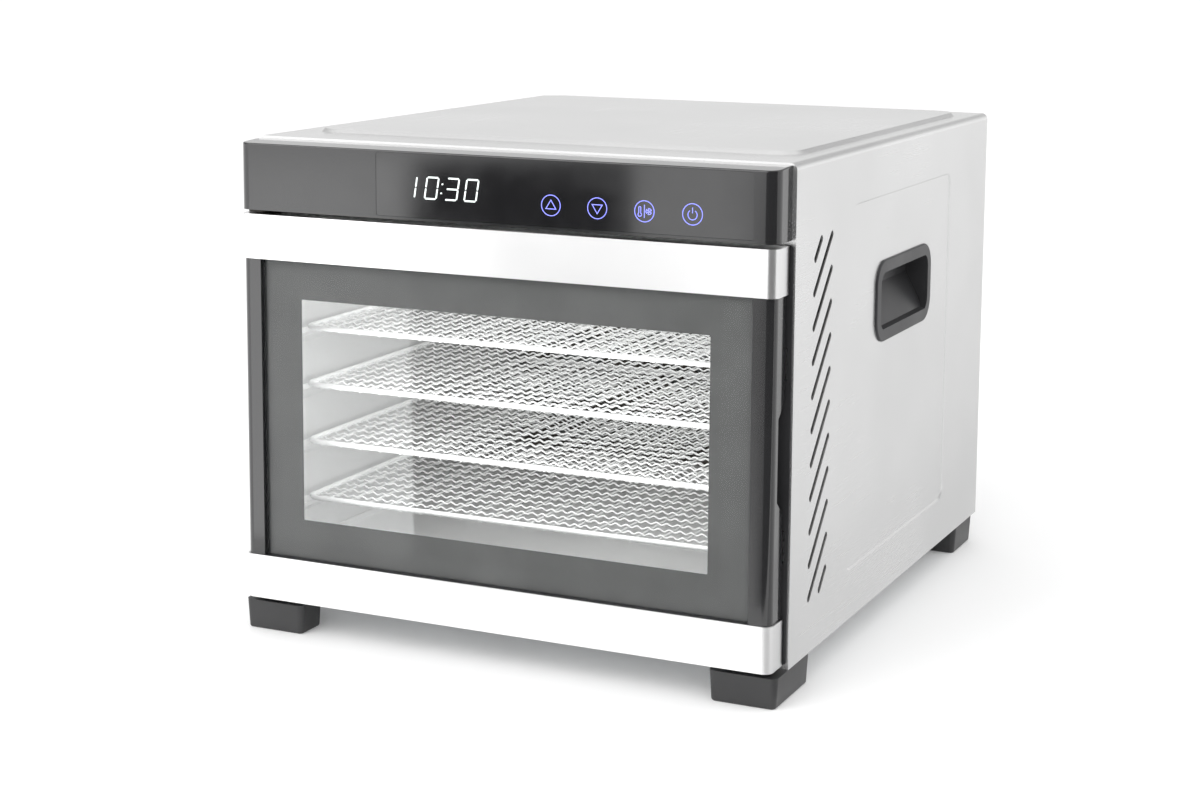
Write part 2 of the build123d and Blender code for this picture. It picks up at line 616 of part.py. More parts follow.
def glass_border():
    """Printed band on the back of the glass that leaves the window clear."""
    band = front_outline(-GLASS_HALF, GLASS_HALF, BOTTOM_BAR_HIGH + 0.6, TOP_BAR_LOW - 0.6)
    window = front_outline(-WINDOW_HALF, WINDOW_HALF, WINDOW_LOW, WINDOW_HIGH, 0.8)
    return front_prism(band - window, 5.02, 5.3)


def door_frame():
    """Moulded frame behind the glass that carries the caps, the rails and the hinge bushes."""
    back = DOOR_DEPTH
    frame = block(-155.9, 155.9, 5.35, back, BOTTOM_BAR_HIGH, TOP_BAR_LOW)
    for low, high in ((DOOR_LOW + 1.1, BOTTOM_BAR_HIGH), (TOP_BAR_LOW, DOOR_HIGH - 1.1)):
        frame += plan_prism(door_plan(1.15), low, high)
    opening = front_outline(-WINDOW_HALF - 10, WINDOW_HALF + 10, WINDOW_LOW - 7, WINDOW_HIGH + 5, 3)
    frame -= front_prism(opening, 0, 30)
    for x, height in DOOR_SCREWS:
        frame -= rod_y(x, height, 1.5, 8, back + 1)
        frame -= rod_y(x, height, 3.4, back - 2.2, back + 1)
    frame -= rod_z(PIVOT_X, PIVOT_DEPTH, BUSH_RADIUS, DOOR_LOW, DOOR_LOW + 13)
    frame -= rod_z(PIVOT_X, PIVOT_DEPTH, BUSH_RADIUS, DOOR_HIGH - 13, DOOR_HIGH)
    return frame


def hinge_bushes():
    """Two plastic bushes in the door that turn on the hinge pins."""
    bushes = []
    for low, high in ((DOOR_LOW + 1.1, DOOR_LOW + 13), (DOOR_HIGH - 13, DOOR_HIGH - 1.1)):
        bush = rod_z(PIVOT_X, PIVOT_DEPTH, BUSH_RADIUS, low, high)
        bushes.append(bush - rod_z(PIVOT_X, PIVOT_DEPTH, PIN_RADIUS + RUNNING_GAP, low - 1, high + 1))
    return group(bushes)


# ---- hinges --------------------------------------------------------------------------------------
def hinge_brackets():
    """Flat steel tongues that reach under and over the door's hinge corner."""
    tongues = []
    for low in BRACKET_HEIGHTS:
        outline = Pos(-162, y(26)) * RectangleRounded(14, 40, 4)
        tongue = plan_prism(outline, low, low + 1.4)
        tongues.append(tongue - rod_z(PIVOT_X, PIVOT_DEPTH, PIN_RADIUS, low - 1, low + 3))
    return group(tongues)


def hinge_pins():
    """Two plain pins, one fixed in each hinge bracket."""
    lower = rod_z(PIVOT_X, PIVOT_DEPTH, PIN_RADIUS, DOOR_LOW - 1.8, DOOR_LOW + 11)
    lower = chamfer(lower.edges().group_by(Axis.Z)[-1], 0.3)
    return group([lower, mirror(lower, about=Plane.XY.offset(z((DOOR_LOW + DOOR_HIGH) / 2)))])


# ---- fasteners --------------------------------------------------------------------------------------
def foot_screws():
    """One screw up through each foot."""
    screw = facing(pan_screw(1.95, 9.5), "down")
    return group(Pos(x, y(depth), z(-6.02)) * screw for x, depth in FOOT_SCREWS)


def rear_screws():
    """Six screws through the cover's rear flange into the rear panel."""
    screw = facing(pan_screw(1.5, 6), "back")
    return group(Pos(x, y(COVER_END + 0.02), z(height)) * screw for x, height in REAR_SCREWS)


def housing_screws():
    """Four screws from inside the rear panel into the fan housing's posts."""
    screw = facing(pan_screw(1.45, 12), "front")
    return group(Pos(x, y(LINER_END - 0.42), z(height)) * screw for x, height in HOUSING_SCREWS)


def baffle_screws():
    """Four screws through the fan guard into its posts."""
    screw = facing(pan_screw(1.5, 10), "front")
    return group(Pos(x, y(BAFFLE_AT - 0.02), z(height)) * screw for x, height in BAFFLE_SCREWS)


def motor_screws():
    """Two long screws through the motor into its spacers."""
    screw = facing(pan_screw(1.9, 39, recess=False), "back")
    return group(Pos(x, y(442.05), z(height)) * screw for x, height in MOTOR_SCREWS)


def door_screws():
    """Four screws in the back of the door frame."""
    screw = facing(pan_screw(1.45, 7), "back")
    return group(Pos(x, y(DOOR_DEPTH - 2.15), z(height)) * screw for x, height in DOOR_SCREWS)


# ---- the whole dehydrator -----------------------------------------------------------------------------
def build():
    """All nodes by name."""
    front_foot, rear_foot = foot(3.5, 58.5, corner_cut=28.0), foot(352.0, 395.0)
    right_liner, right_cup = liner(), handle_cup()
    nodes = {
        "outer_cover": outer_cover(),
        "base_plate": base_plate(),
        "rear_panel": rear_panel(),
        "rear_housing": rear_housing(),
        "front_foot_right": front_foot,
        "front_foot_left": mirrored(front_foot),
        "rear_foot_right": rear_foot,
        "rear_foot_left": mirrored(rear_foot),
        "front_frame": front_frame(),
        "door_seal": door_seal(),
        "catch_plates": catch_plates(),
        "liner_right": right_liner,
        "liner_left": mirrored(right_liner),
        "chamber_roof": chamber_roof(),
        "chamber_floor": chamber_floor(),
        "rear_baffle": rear_baffle(),
        "spacers": spacers(),
        "impeller": impeller(),
        "impeller_nut": impeller_nut(),
        "fan_shaft": fan_shaft(),
        "motor_rotor": motor_rotor(),
        "motor_core": motor_core(),
        "motor_coil": motor_coil(),
        "motor_brackets": motor_brackets(),
        "motor_bearings": motor_bearings(),
        "heater_element": heater_element(),
        "heater_clips": heater_clips(),
        "thermal_cutout": thermal_cutout(),
        "temperature_probe": temperature_probe(),
        "power_inlet": power_inlet(),
        "inlet_contacts": inlet_contacts(),
        "control_housing": control_housing(),
        "display_glass": display_glass(),
        "control_board": control_board(),
        "display_module": display_module(),
        "touch_pads": touch_pads(),
        "power_board": power_board(),
        "handle_cup_right": right_cup,
        "handle_cup_left": mirrored(right_cup),
        "hinge_brackets": hinge_brackets(),
        "hinge_pins": hinge_pins(),
        "door_top_bar": door_bar(TOP_BAR_LOW, DOOR_HIGH, 1),
        "door_bottom_bar": door_bar(DOOR_LOW, BOTTOM_BAR_HIGH, -1),
        "door_rail_right": door_rail(1),
        "door_rail_left": door_rail(-1),
        "door_glass": door_glass(),
        "glass_border": glass_border(),
        "door_frame": door_frame(),
        "door_magnets": door_magnets(),
        "hinge_bushes": hinge_bushes(),
        "fasteners_foot": foot_screws(),
        "fasteners_rear": rear_screws(),
        "fasteners_inside": group([housing_screws(), baffle_screws(), motor_screws()]),
        "fasteners_door": door_screws(),
    }
    return nodes


def main():
    os.makedirs("parts", exist_ok=True)
    for name, shape in build().items():
        export_step(shape, os.path.join("parts", name + ".step"))
    lowest = tray(TRAY_HEIGHTS[0])
    for level, height in enumerate(TRAY_HEIGHTS, start=1):
        lifted = Pos(0, 0, height - TRAY_HEIGHTS[0]) * lowest
        export_step(lifted, os.path.join("parts", f"tray_{level}.step"))


if __name__ == "__main__":
    main()
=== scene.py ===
"""Looks of a front-loading food dehydrator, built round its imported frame.

Metres throughout. X runs across the cabinet, Y from the door to the fan housing, Z up.
"""

import json
import logging
import math
from dataclasses import dataclass, field
from enum import Enum
from typing import Any, Iterable, Sequence

import bmesh
import bpy
from mathutils import Matrix, Vector

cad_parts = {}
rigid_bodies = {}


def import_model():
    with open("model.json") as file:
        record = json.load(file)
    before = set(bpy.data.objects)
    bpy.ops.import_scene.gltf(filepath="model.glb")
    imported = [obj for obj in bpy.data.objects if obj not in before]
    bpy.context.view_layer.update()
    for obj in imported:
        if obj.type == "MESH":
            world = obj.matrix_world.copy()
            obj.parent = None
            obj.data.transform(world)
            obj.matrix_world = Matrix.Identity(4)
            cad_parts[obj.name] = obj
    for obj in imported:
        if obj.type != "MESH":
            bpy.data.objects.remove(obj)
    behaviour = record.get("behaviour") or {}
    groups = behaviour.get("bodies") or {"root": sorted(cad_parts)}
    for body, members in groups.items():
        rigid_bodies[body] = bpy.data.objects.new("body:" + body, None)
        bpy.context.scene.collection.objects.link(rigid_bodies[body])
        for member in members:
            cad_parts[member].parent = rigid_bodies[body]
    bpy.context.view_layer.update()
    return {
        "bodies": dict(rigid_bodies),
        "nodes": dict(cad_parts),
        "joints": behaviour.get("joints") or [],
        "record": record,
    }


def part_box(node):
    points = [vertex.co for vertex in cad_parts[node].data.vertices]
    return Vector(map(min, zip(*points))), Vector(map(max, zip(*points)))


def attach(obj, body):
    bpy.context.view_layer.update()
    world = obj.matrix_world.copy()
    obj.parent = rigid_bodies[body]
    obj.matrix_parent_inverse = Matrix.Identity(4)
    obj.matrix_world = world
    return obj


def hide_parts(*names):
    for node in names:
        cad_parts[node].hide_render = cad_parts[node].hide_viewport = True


LOG = logging.getLogger("dehydrator")
MM = 0.001
Colour = tuple[float, float, float]
Point = tuple[float, float, float]
Flat = tuple[float, float]
Names = tuple[str, ...]


class Grain(Enum):
    """Direction in which a sheet was brushed."""

    ACROSS = (14.0, 1700.0, 1700.0)
    ALONG = (1700.0, 14.0, 1700.0)
    UPRIGHT = (1700.0, 1700.0, 14.0)


# ---- finishes ----


class Nodes:
    """Node tree, with the steps that shader, world and geometry trees share."""

    tree: bpy.types.NodeTree

    def link(self, source: Any, target: Any) -> None:
        """Join two sockets."""
        self.tree.links.new(source, target)

    def fill(self, socket: Any, value: Any) -> None:
        """Join a socket to another one, or set it to a constant."""
        if isinstance(value, bpy.types.NodeSocket):
            self.link(value, socket)
        else:
            socket.default_value = value

    def node(self, kind: str, settings: dict[str, Any] | None = None, **inputs: Any) -> bpy.types.Node:
        """Add one node and fill its inputs.

        Args:
            kind: Blender's name of the node's type.
            settings: Properties of the node.
            **inputs: Sockets to join, or constants, with underscores for spaces in input names.

        Returns:
            The new node.
        """
        made = self.tree.nodes.new(kind)
        for key, value in (settings or {}).items():
            setattr(made, key, value)
        for key, value in inputs.items():
            self.fill(made.inputs[key.replace("_", " ")], value)
        return made

    def result(self, kind: str, settings: dict[str, Any], *values: Any) -> Any:
        """First output of a new node, with its inputs filled in order."""
        made = self.node(kind, settings)
        for socket, value in zip(made.inputs, values):
            self.fill(socket, value)
        return made.outputs[0]

    def math(self, operation: str, *values: Any) -> Any:
        """Result of a math node on sockets or constants."""
        return self.result("ShaderNodeMath", {"operation": operation}, *values)

    def mixed(self, share: Any, first: Any, second: Any) -> Any:
        """Mix of two shaders."""
        return self.result("ShaderNodeMixShader", {}, share, first, second)


class Recipe(Nodes):
    """Node tree of one finish, with the few steps that all finishes share."""

    def __init__(self, name: str, **constants: Any) -> None:
        """Start a node material.

        Args:
            name: Name of the finish.
            **constants: What set() takes.
        """
        self.material = bpy.data.materials.new(name)
        self.material.use_nodes = True
        self.tree = self.material.node_tree
        self.shader = self.tree.nodes["Principled BSDF"]
        self.set(**constants)

    def set(self, **values: Any) -> None:
        """Set constants on the shader's sockets, with underscores for spaces in their names."""
        for key, value in values.items():
            self.shader.inputs[key.replace("_", " ")].default_value = value

    def place(self, stretch: Point | float) -> Any:
        """Object coordinates, scaled by one factor or by one for each axis.

        Args:
            stretch: Pattern repeats per metre, or those along X, Y and Z.

        Returns:
            Vector socket.
        """
        scale = stretch if isinstance(stretch, tuple) else (stretch,) * 3
        coordinates = self.node("ShaderNodeTexCoord").outputs["Object"]
        return self.node("ShaderNodeMapping", Vector=coordinates, Scale=scale).outputs["Vector"]

    def noise(self, stretch: Point | float, detail: float = 2.0) -> Any:
        """Smooth noise, drawn out along the axes with few repeats per metre.

        Args:
            stretch: Repeats per metre, or those along X, Y and Z.
            detail: Octaves of the noise.

        Returns:
            Float socket that stays near 0.5.
        """
        made = self.node("ShaderNodeTexNoise", Vector=self.place(stretch), Scale=1.0, Detail=detail)
        return made.outputs["Fac"]

    def spread(self, source: Any, low: float, high: float) -> Any:
        """Map a noise to a range.

        Args:
            source: Float socket with values near 0.25 to 0.75.
            low: Result for the lowest noise.
            high: Result for the highest noise.

        Returns:
            Float socket.
        """
        made = self.node(
            "ShaderNodeMapRange", Value=source, From_Min=0.25, From_Max=0.75, To_Min=low, To_Max=high
        )
        return made.outputs["Result"]

    def rough(self, source: Any, low: float, high: float) -> None:
        """Vary the roughness between two values by a noise."""
        self.link(self.spread(source, low, high), self.shader.inputs["Roughness"])

    def tint(self, source: Any, dark: Colour, light: Colour) -> None:
        """Vary the base colour between two colours by a noise."""
        mix = self.node("ShaderNodeMix", {"data_type": "RGBA"}, Factor=self.spread(source, 0.0, 1.0))
        ends = [socket for socket in mix.inputs if socket.type == "RGBA"]
        for socket, colour in zip(ends, (dark, light)):
            socket.default_value = (*colour, 1.0)
        result = next(socket for socket in mix.outputs if socket.type == "RGBA")
        self.link(result, self.shader.inputs["Base Color"])

    def bump(self, source: Any, strength: float, distance: float) -> None:
        """Raise the surface by a noise.

        Args:
            source: Float socket.
            strength: Share of the full relief.
            distance: Full relief, in metres.
        """
        made = self.node("ShaderNodeBump", Strength=strength, Distance=distance, Height=source)
        self.link(made.outputs["Normal"], self.shader.inputs["Normal"])


def shade(colour: Colour, share: float) -> Colour:
    """A colour times a factor, held under 1."""
    red, green, blue = (min(1.0, channel * share) for channel in colour)
    return red, green, blue


@dataclass(frozen=True)
class Finish:
    """What every finish has: its name and its main colour."""

    name: str
    colour: Colour

    def vary(self, recipe: Recipe, source: Any, dark: float, light: float) -> None:
        """Let the base colour swing by a noise.

        Args:
            recipe: Node tree of the finish.
            source: Float socket of the noise.
            dark: Factor on the colour for the lowest noise.
            light: Factor for the highest.
        """
        recipe.tint(source, shade(self.colour, dark), shade(self.colour, light))


@dataclass(frozen=True)
class BrushedSteel(Finish):
    """Rolled stainless or zinc coated sheet with a brushed grain."""

    roughness: float
    grain: Grain
    depth: float = 0.25
    metal: float = 1.0
    upright_spread: float = 0.0

    def make(self) -> bpy.types.Material:
        """Build the material."""
        recipe = Recipe(self.name, Metallic=self.metal)
        if self.upright_spread:
            recipe.set(Anisotropic=self.upright_spread, Anisotropic_Rotation=0.25)
            level = recipe.node("ShaderNodeTangent", {"direction_type": "RADIAL", "axis": "Z"})
            recipe.link(level.outputs["Tangent"], recipe.shader.inputs["Tangent"])
        lines = recipe.noise(self.grain.value, 3.0)
        clouds = recipe.noise(9.0)
        self.vary(recipe, clouds, 0.94, 1.04)
        mixed = recipe.math("MULTIPLY_ADD", lines, 0.7, recipe.spread(clouds, 0.05, 0.25))
        swing = 0.5 * self.depth
        recipe.rough(mixed, self.roughness - swing, self.roughness + swing)
        recipe.bump(lines, self.depth, 0.12 * MM)
        return recipe.material


@dataclass(frozen=True)
class SpangledZinc(Finish):
    """Galvanised sheet with the flat crystals of the zinc bath."""

    def make(self) -> bpy.types.Material:
        """Build the material."""
        recipe = Recipe(self.name, Metallic=1.0)
        crystals = recipe.node("ShaderNodeTexVoronoi", Vector=recipe.place(160.0), Scale=1.0)
        grey = recipe.node("ShaderNodeRGBToBW", Color=crystals.outputs["Color"]).outputs["Val"]
        self.vary(recipe, grey, 0.9, 1.08)
        recipe.rough(grey, 0.38, 0.55)
        recipe.bump(recipe.noise(700.0), 0.15, 0.1 * MM)
        return recipe.material


@dataclass(frozen=True)
class BareMetal(Finish):
    """Turned, drawn or stamped metal of a small part."""

    roughness: float
    metal: float = 1.0

    def make(self) -> bpy.types.Material:
        """Build the material."""
        recipe = Recipe(self.name, Metallic=self.metal)
        grain = recipe.noise(420.0, 4.0)
        self.vary(recipe, grain, 0.86, 1.08)
        recipe.rough(grain, self.roughness - 0.05, self.roughness + 0.1)
        recipe.bump(recipe.noise(1500.0), 0.2, 0.08 * MM)
        return recipe.material


@dataclass(frozen=True)
class Laminations(Finish):
    """Stack of thin oxidised iron plates, seen from its edge."""

    plate: float = 0.5 * MM

    def make(self) -> bpy.types.Material:
        """Build the material."""
        recipe = Recipe(self.name, Metallic=0.8)
        repeats = math.pi / 10 / self.plate
        edges = recipe.node(
            "ShaderNodeTexWave", {"wave_type": "BANDS", "bands_direction": "Y"},
            Vector=recipe.place((60.0, repeats, 60.0)), Scale=1.0, Distortion=0.4,
        ).outputs["Fac"]
        self.vary(recipe, edges, 0.45, 1.2)
        recipe.rough(recipe.noise(200.0), 0.4, 0.65)
        recipe.bump(edges, 0.5, 0.2 * MM)
        return recipe.material


@dataclass(frozen=True)
class SatinMoulding(Finish):
    """Moulded plastic or rubber with a fine spark-eroded texture."""

    roughness: float
    relief: float = 0.3
    level: float = 0.5

    def make(self) -> bpy.types.Material:
        """Build the material."""
        recipe = Recipe(self.name, Specular_IOR_Level=self.level)
        cloud = recipe.noise(30.0, 3.0)
        self.vary(recipe, cloud, 0.88, 1.14)
        recipe.rough(cloud, self.roughness - 0.05, self.roughness + 0.06)
        recipe.bump(recipe.noise(1300.0, 1.0), self.relief, 0.12 * MM)
        return recipe.material


@dataclass(frozen=True)
class PolishedMoulding(Finish):
    """High gloss moulding with a clear top layer and faint sink in its surface."""

    roughness: float
    coat: float = 0.6

    def make(self) -> bpy.types.Material:
        """Build the material."""
        recipe = Recipe(self.name, Coat_Weight=self.coat, Coat_Roughness=self.roughness)
        wear = recipe.noise(55.0, 4.0)
        self.vary(recipe, wear, 0.9, 1.1)
        recipe.rough(wear, self.roughness, self.roughness + 0.07)
        recipe.bump(recipe.noise(38.0, 0.0), 0.1, 0.1 * MM)
        return recipe.material


@dataclass(frozen=True)
class ClearGlass(Finish):
    """Toughened glass that mirrors a little in front, and on its back only where no print touches it."""

    clear_half: float
    clear_low: float
    clear_high: float
    front_share: float = 0.1
    back_share: float = 2.2
    most: float = 0.13
    bending: float = 1.45

    def unprinted(self, recipe: Recipe) -> Any:
        """Float socket that is 1 on the clear window and 0 over the print."""
        where = recipe.node("ShaderNodeSeparateXYZ", Vector=recipe.place(1.0)).outputs
        result = recipe.node("ShaderNodeNewGeometry").outputs["Backfacing"]
        for source, operation, limit in (
            (recipe.math("ABSOLUTE", where["X"]), "LESS_THAN", self.clear_half),
            (where["Z"], "GREATER_THAN", self.clear_low),
            (where["Z"], "LESS_THAN", self.clear_high),
        ):
            result = recipe.math("MULTIPLY", result, recipe.math(operation, source, limit))
        return result

    def make(self) -> bpy.types.Material:
        """Build the material."""
        recipe = Recipe(self.name, Base_Color=(0.93, 0.94, 0.94, 1.0), Metallic=1.0)
        recipe.rough(recipe.noise(18.0, 3.0), 0.015, 0.06)
        recipe.bump(recipe.noise(7.0, 0.0), 0.05, 0.1 * MM)
        clear = recipe.node("ShaderNodeBsdfTransparent", Color=(*self.colour, 1.0)).outputs[0]
        rim = recipe.node("ShaderNodeFresnel", IOR=self.bending).outputs["Fac"]
        gain = self.back_share - self.front_share
        share = recipe.math("MULTIPLY_ADD", self.unprinted(recipe), gain, self.front_share)
        mirror = recipe.math("MINIMUM", recipe.math("MULTIPLY", rim, share), self.most)
        mix = recipe.mixed(mirror, clear, recipe.shader.outputs[0])
        recipe.link(mix, recipe.tree.nodes["Material Output"].inputs["Surface"])
        return recipe.material


@dataclass(frozen=True)
class LitPrint(Finish):
    """Printed mark or digit with a lamp behind it."""

    strength: float

    def make(self) -> bpy.types.Material:
        """Build the material."""
        recipe = Recipe(self.name, Emission_Color=(*self.colour, 1.0), Emission_Strength=self.strength)
        grain = recipe.noise(900.0)
        self.vary(recipe, grain, 0.85, 1.0)
        recipe.rough(grain, 0.25, 0.4)
        recipe.bump(grain, 0.1, 0.05 * MM)
        return recipe.material


@dataclass(frozen=True)
class SolderMask(Finish):
    """Green circuit board lacquer over copper tracks."""

    def make(self) -> bpy.types.Material:
        """Build the material."""
        recipe = Recipe(self.name)
        tracks = recipe.node(
            "ShaderNodeTexBrick", Vector=recipe.place(260.0), Scale=1.0, Mortar_Size=0.06,
            Color1=(*self.colour, 1.0), Color2=(*shade(self.colour, 0.8), 1.0),
            Mortar=(*shade(self.colour, 1.9), 1.0),
        ).outputs
        recipe.link(tracks["Color"], recipe.shader.inputs["Base Color"])
        recipe.rough(recipe.noise(90.0), 0.25, 0.4)
        recipe.bump(tracks["Fac"], 0.4, 0.1 * MM)
        return recipe.material


FINISHES = {
    "brushed_steel": BrushedSteel("satin_cover_steel", (0.81,) * 3, 0.27, Grain.ALONG, 0.012, 0.85),
    "cap_steel": BrushedSteel("bright_cap_steel", (0.95,) * 3, 0.32, Grain.ACROSS, 0.04, 1.0, 0.9),
    "liner_steel": BrushedSteel("rolled_liner_steel", (0.84,) * 3, 0.32, Grain.ALONG, 0.12, 0.8),
    "floor_steel": BrushedSteel("brushed_floor_steel", (0.85,) * 3, 0.4, Grain.ALONG, 0.25, 0.5),
    "tray_wire": BareMetal("polished_tray_wire", (0.97, 0.97, 0.96), 0.35, 0.2),
    "bright_steel": BareMetal("zinc_plated_steel", (0.75, 0.75, 0.76), 0.28),
    "galvanised_sheet": SpangledZinc("galvanised_sheet", (0.66, 0.68, 0.69)),
    "aluminium_sheet": BrushedSteel("rolled_aluminium", (0.78, 0.79, 0.80), 0.38, Grain.UPRIGHT, 0.2),
    "motor_laminations": Laminations("motor_plates", (0.26, 0.27, 0.29)),
    "copper_winding": BareMetal("enamelled_copper", (0.72, 0.33, 0.16), 0.28),
    "brass": BareMetal("turned_brass", (0.83, 0.66, 0.34), 0.25),
    "heater_sheath": BareMetal("blackened_sheath", (0.16, 0.145, 0.135), 0.5, 0.7),
    "dark_coated_sheet": SatinMoulding("coated_guard_sheet", (0.045, 0.036, 0.028), 0.5, 0.15),
    "gloss_black": PolishedMoulding("polished_black_moulding", (0.014, 0.014, 0.015), 0.09, 0.8),
    "display_glass": PolishedMoulding("dark_display_glass", (0.008, 0.008, 0.009), 0.06, 0.9),
    "black_moulding": SatinMoulding("satin_black_moulding", (0.03, 0.03, 0.032), 0.38),
    "dark_plastic": SatinMoulding("plain_dark_plastic", (0.05,) * 3, 0.45),
    "foot_rubber": SatinMoulding("satin_foot_rubber", (0.03, 0.03, 0.031), 0.4, 0.35),
    "seal_rubber": SatinMoulding("silicone_seal", (0.10,) * 3, 0.6, 0.2),
    "border_print": SatinMoulding("fired_glass_print", (0.118,) * 3, 0.5, 0.05, 0.2),
    "circuit_board": SolderMask("green_solder_mask", (0.02, 0.16, 0.08)),
    "clear_glass": ClearGlass("toughened_glass", (0.975, 0.98, 0.978), 130.5 * MM, 71.7 * MM, 205.6 * MM),
    "display_light": LitPrint("lit_digits", (0.80, 0.86, 0.84), 0.62),
    "touch_light": LitPrint("lit_touch_marks", (0.24, 0.26, 1.0), 0.95),
}


class FinishBook:
    """Makes each finish once and dresses nodes and pieces with it."""

    def __init__(self, frame: dict[str, Any]) -> None:
        """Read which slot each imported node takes.
        """
        self.nodes = frame["nodes"]
        self.slots = {part["node"]: part["material_slot"] for part in frame["record"]["subparts"]}
        self.made: dict[str, bpy.types.Material] = {}

    def material(self, slot: str) -> bpy.types.Material:
        """The material of a slot, made on its first use."""
        if slot not in self.made:
            self.made[slot] = FINISHES[slot].make()
        return self.made[slot]

    def dress_nodes(self, names: Iterable[str]) -> None:
        """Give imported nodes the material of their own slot."""
        for name in names:
            mesh = self.nodes[name].data
            mesh.materials.clear()
            mesh.materials.append(self.material(self.slots[name]))
            LOG.info("dressed %s as %s", name, self.slots[name])

    def dress_piece(self, piece: bpy.types.Object, slot: str, body: str) -> bpy.types.Object:
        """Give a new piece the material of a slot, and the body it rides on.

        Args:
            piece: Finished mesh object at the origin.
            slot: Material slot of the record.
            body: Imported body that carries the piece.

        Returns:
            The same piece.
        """
        piece.data.materials.clear()
        piece.data.materials.append(self.material(slot))
        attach(piece, body)
        LOG.info("built %s, %d faces, on %s", piece.name, len(piece.data.polygons), body)
        return piece


# ---- shape helpers ----


def stand(name: str, data: Any) -> bpy.types.Object:
    """New object in the scene, at the origin, for a mesh, a lamp or a camera."""
    made = bpy.data.objects.new(name, data)
    bpy.context.scene.collection.objects.link(made)
    return made


def mesh_piece(name: str, shape: bmesh.types.BMesh, smooth: bool = True) -> bpy.types.Object:
    """Turn a bmesh into an object at the origin, with its faces pointing outwards.

    Args:
        name: Name of the piece.
        shape: The closed shape; it is freed here.
        smooth: Shade the faces smoothly.

    Returns:
        The new object.
    """
    bmesh.ops.recalc_face_normals(shape, faces=shape.faces)
    for face in shape.faces:
        face.smooth = smooth
    mesh = bpy.data.meshes.new(name)
    shape.to_mesh(mesh)
    shape.free()
    return stand(name, mesh)


def add_prism(shape: bmesh.types.BMesh, outline: Sequence[Flat], front: float, back: float) -> None:
    """Add a closed prism of a front outline between two Y values.

    Args:
        shape: Bmesh that takes the prism.
        outline: Points (X, Z) in order round the outline.
        front: Y of the front face.
        back: Y of the back face.
    """
    near = [shape.verts.new((x, front, z)) for x, z in outline]
    far = [shape.verts.new((x, back, z)) for x, z in outline]
    shape.faces.new(near)
    shape.faces.new(far[::-1])
    for here in range(len(outline)):
        after = (here + 1) % len(outline)
        shape.faces.new((near[here], far[here], far[after], near[after]))


def arc(centre: Flat, radius: float, start: float, end: float, steps: int) -> list[Flat]:
    """Points on a circular arc.

    Args:
        centre: Centre (X, Z).
        radius: Radius in metres.
        start: First angle in degrees.
        end: Last angle in degrees.
        steps: Number of spans.

    Returns:
        Points from start to end.
    """
    turns = [math.radians(start + (end - start) * step / steps) for step in range(steps + 1)]
    return [(centre[0] + radius * math.cos(turn), centre[1] + radius * math.sin(turn)) for turn in turns]


def add_stroke(
    shape: bmesh.types.BMesh, line: Sequence[Flat], width: float, front: float, back: float, closed: bool,
) -> None:
    """Add a flat line of even width with mitred corners, as a closed solid.

    Args:
        shape: Bmesh that takes the line.
        line: Points (X, Z) of the line's middle.
        width: Width of the line.
        front: Y of its front face.
        back: Y of its back face.
        closed: Join the last point to the first.
    """
    points = [Vector(point) for point in line]
    count = len(points)
    sides: list[tuple[Vector, Vector]] = []
    for here, point in enumerate(points):
        before, after = points[here - 1], points[(here + 1) % count]
        ahead, behind = (after - point).normalized(), (point - before).normalized()
        if not closed and here == 0:
            behind = ahead
        if not closed and here == count - 1:
            ahead = behind
        middle = (ahead + behind).normalized()
        across = Vector((-middle.y, middle.x))
        reach = width / 2 / max(0.35, across.dot(Vector((-ahead.y, ahead.x))))
        sides.append((point + across * reach, point - across * reach))
    rows = [
        [shape.verts.new((side.x, depth, side.y)) for side, depth in
         ((left, front), (right, front), (right, back), (left, back))]
        for left, right in sides
    ]
    spans = range(count if closed else count - 1)
    for here in spans:
        one, two = rows[here], rows[(here + 1) % count]
        for corner in range(4):
            beside = (corner + 1) % 4
            shape.faces.new((one[corner], one[beside], two[beside], two[corner]))
    if not closed:
        shape.faces.new(rows[0])
        shape.faces.new(rows[-1][::-1])


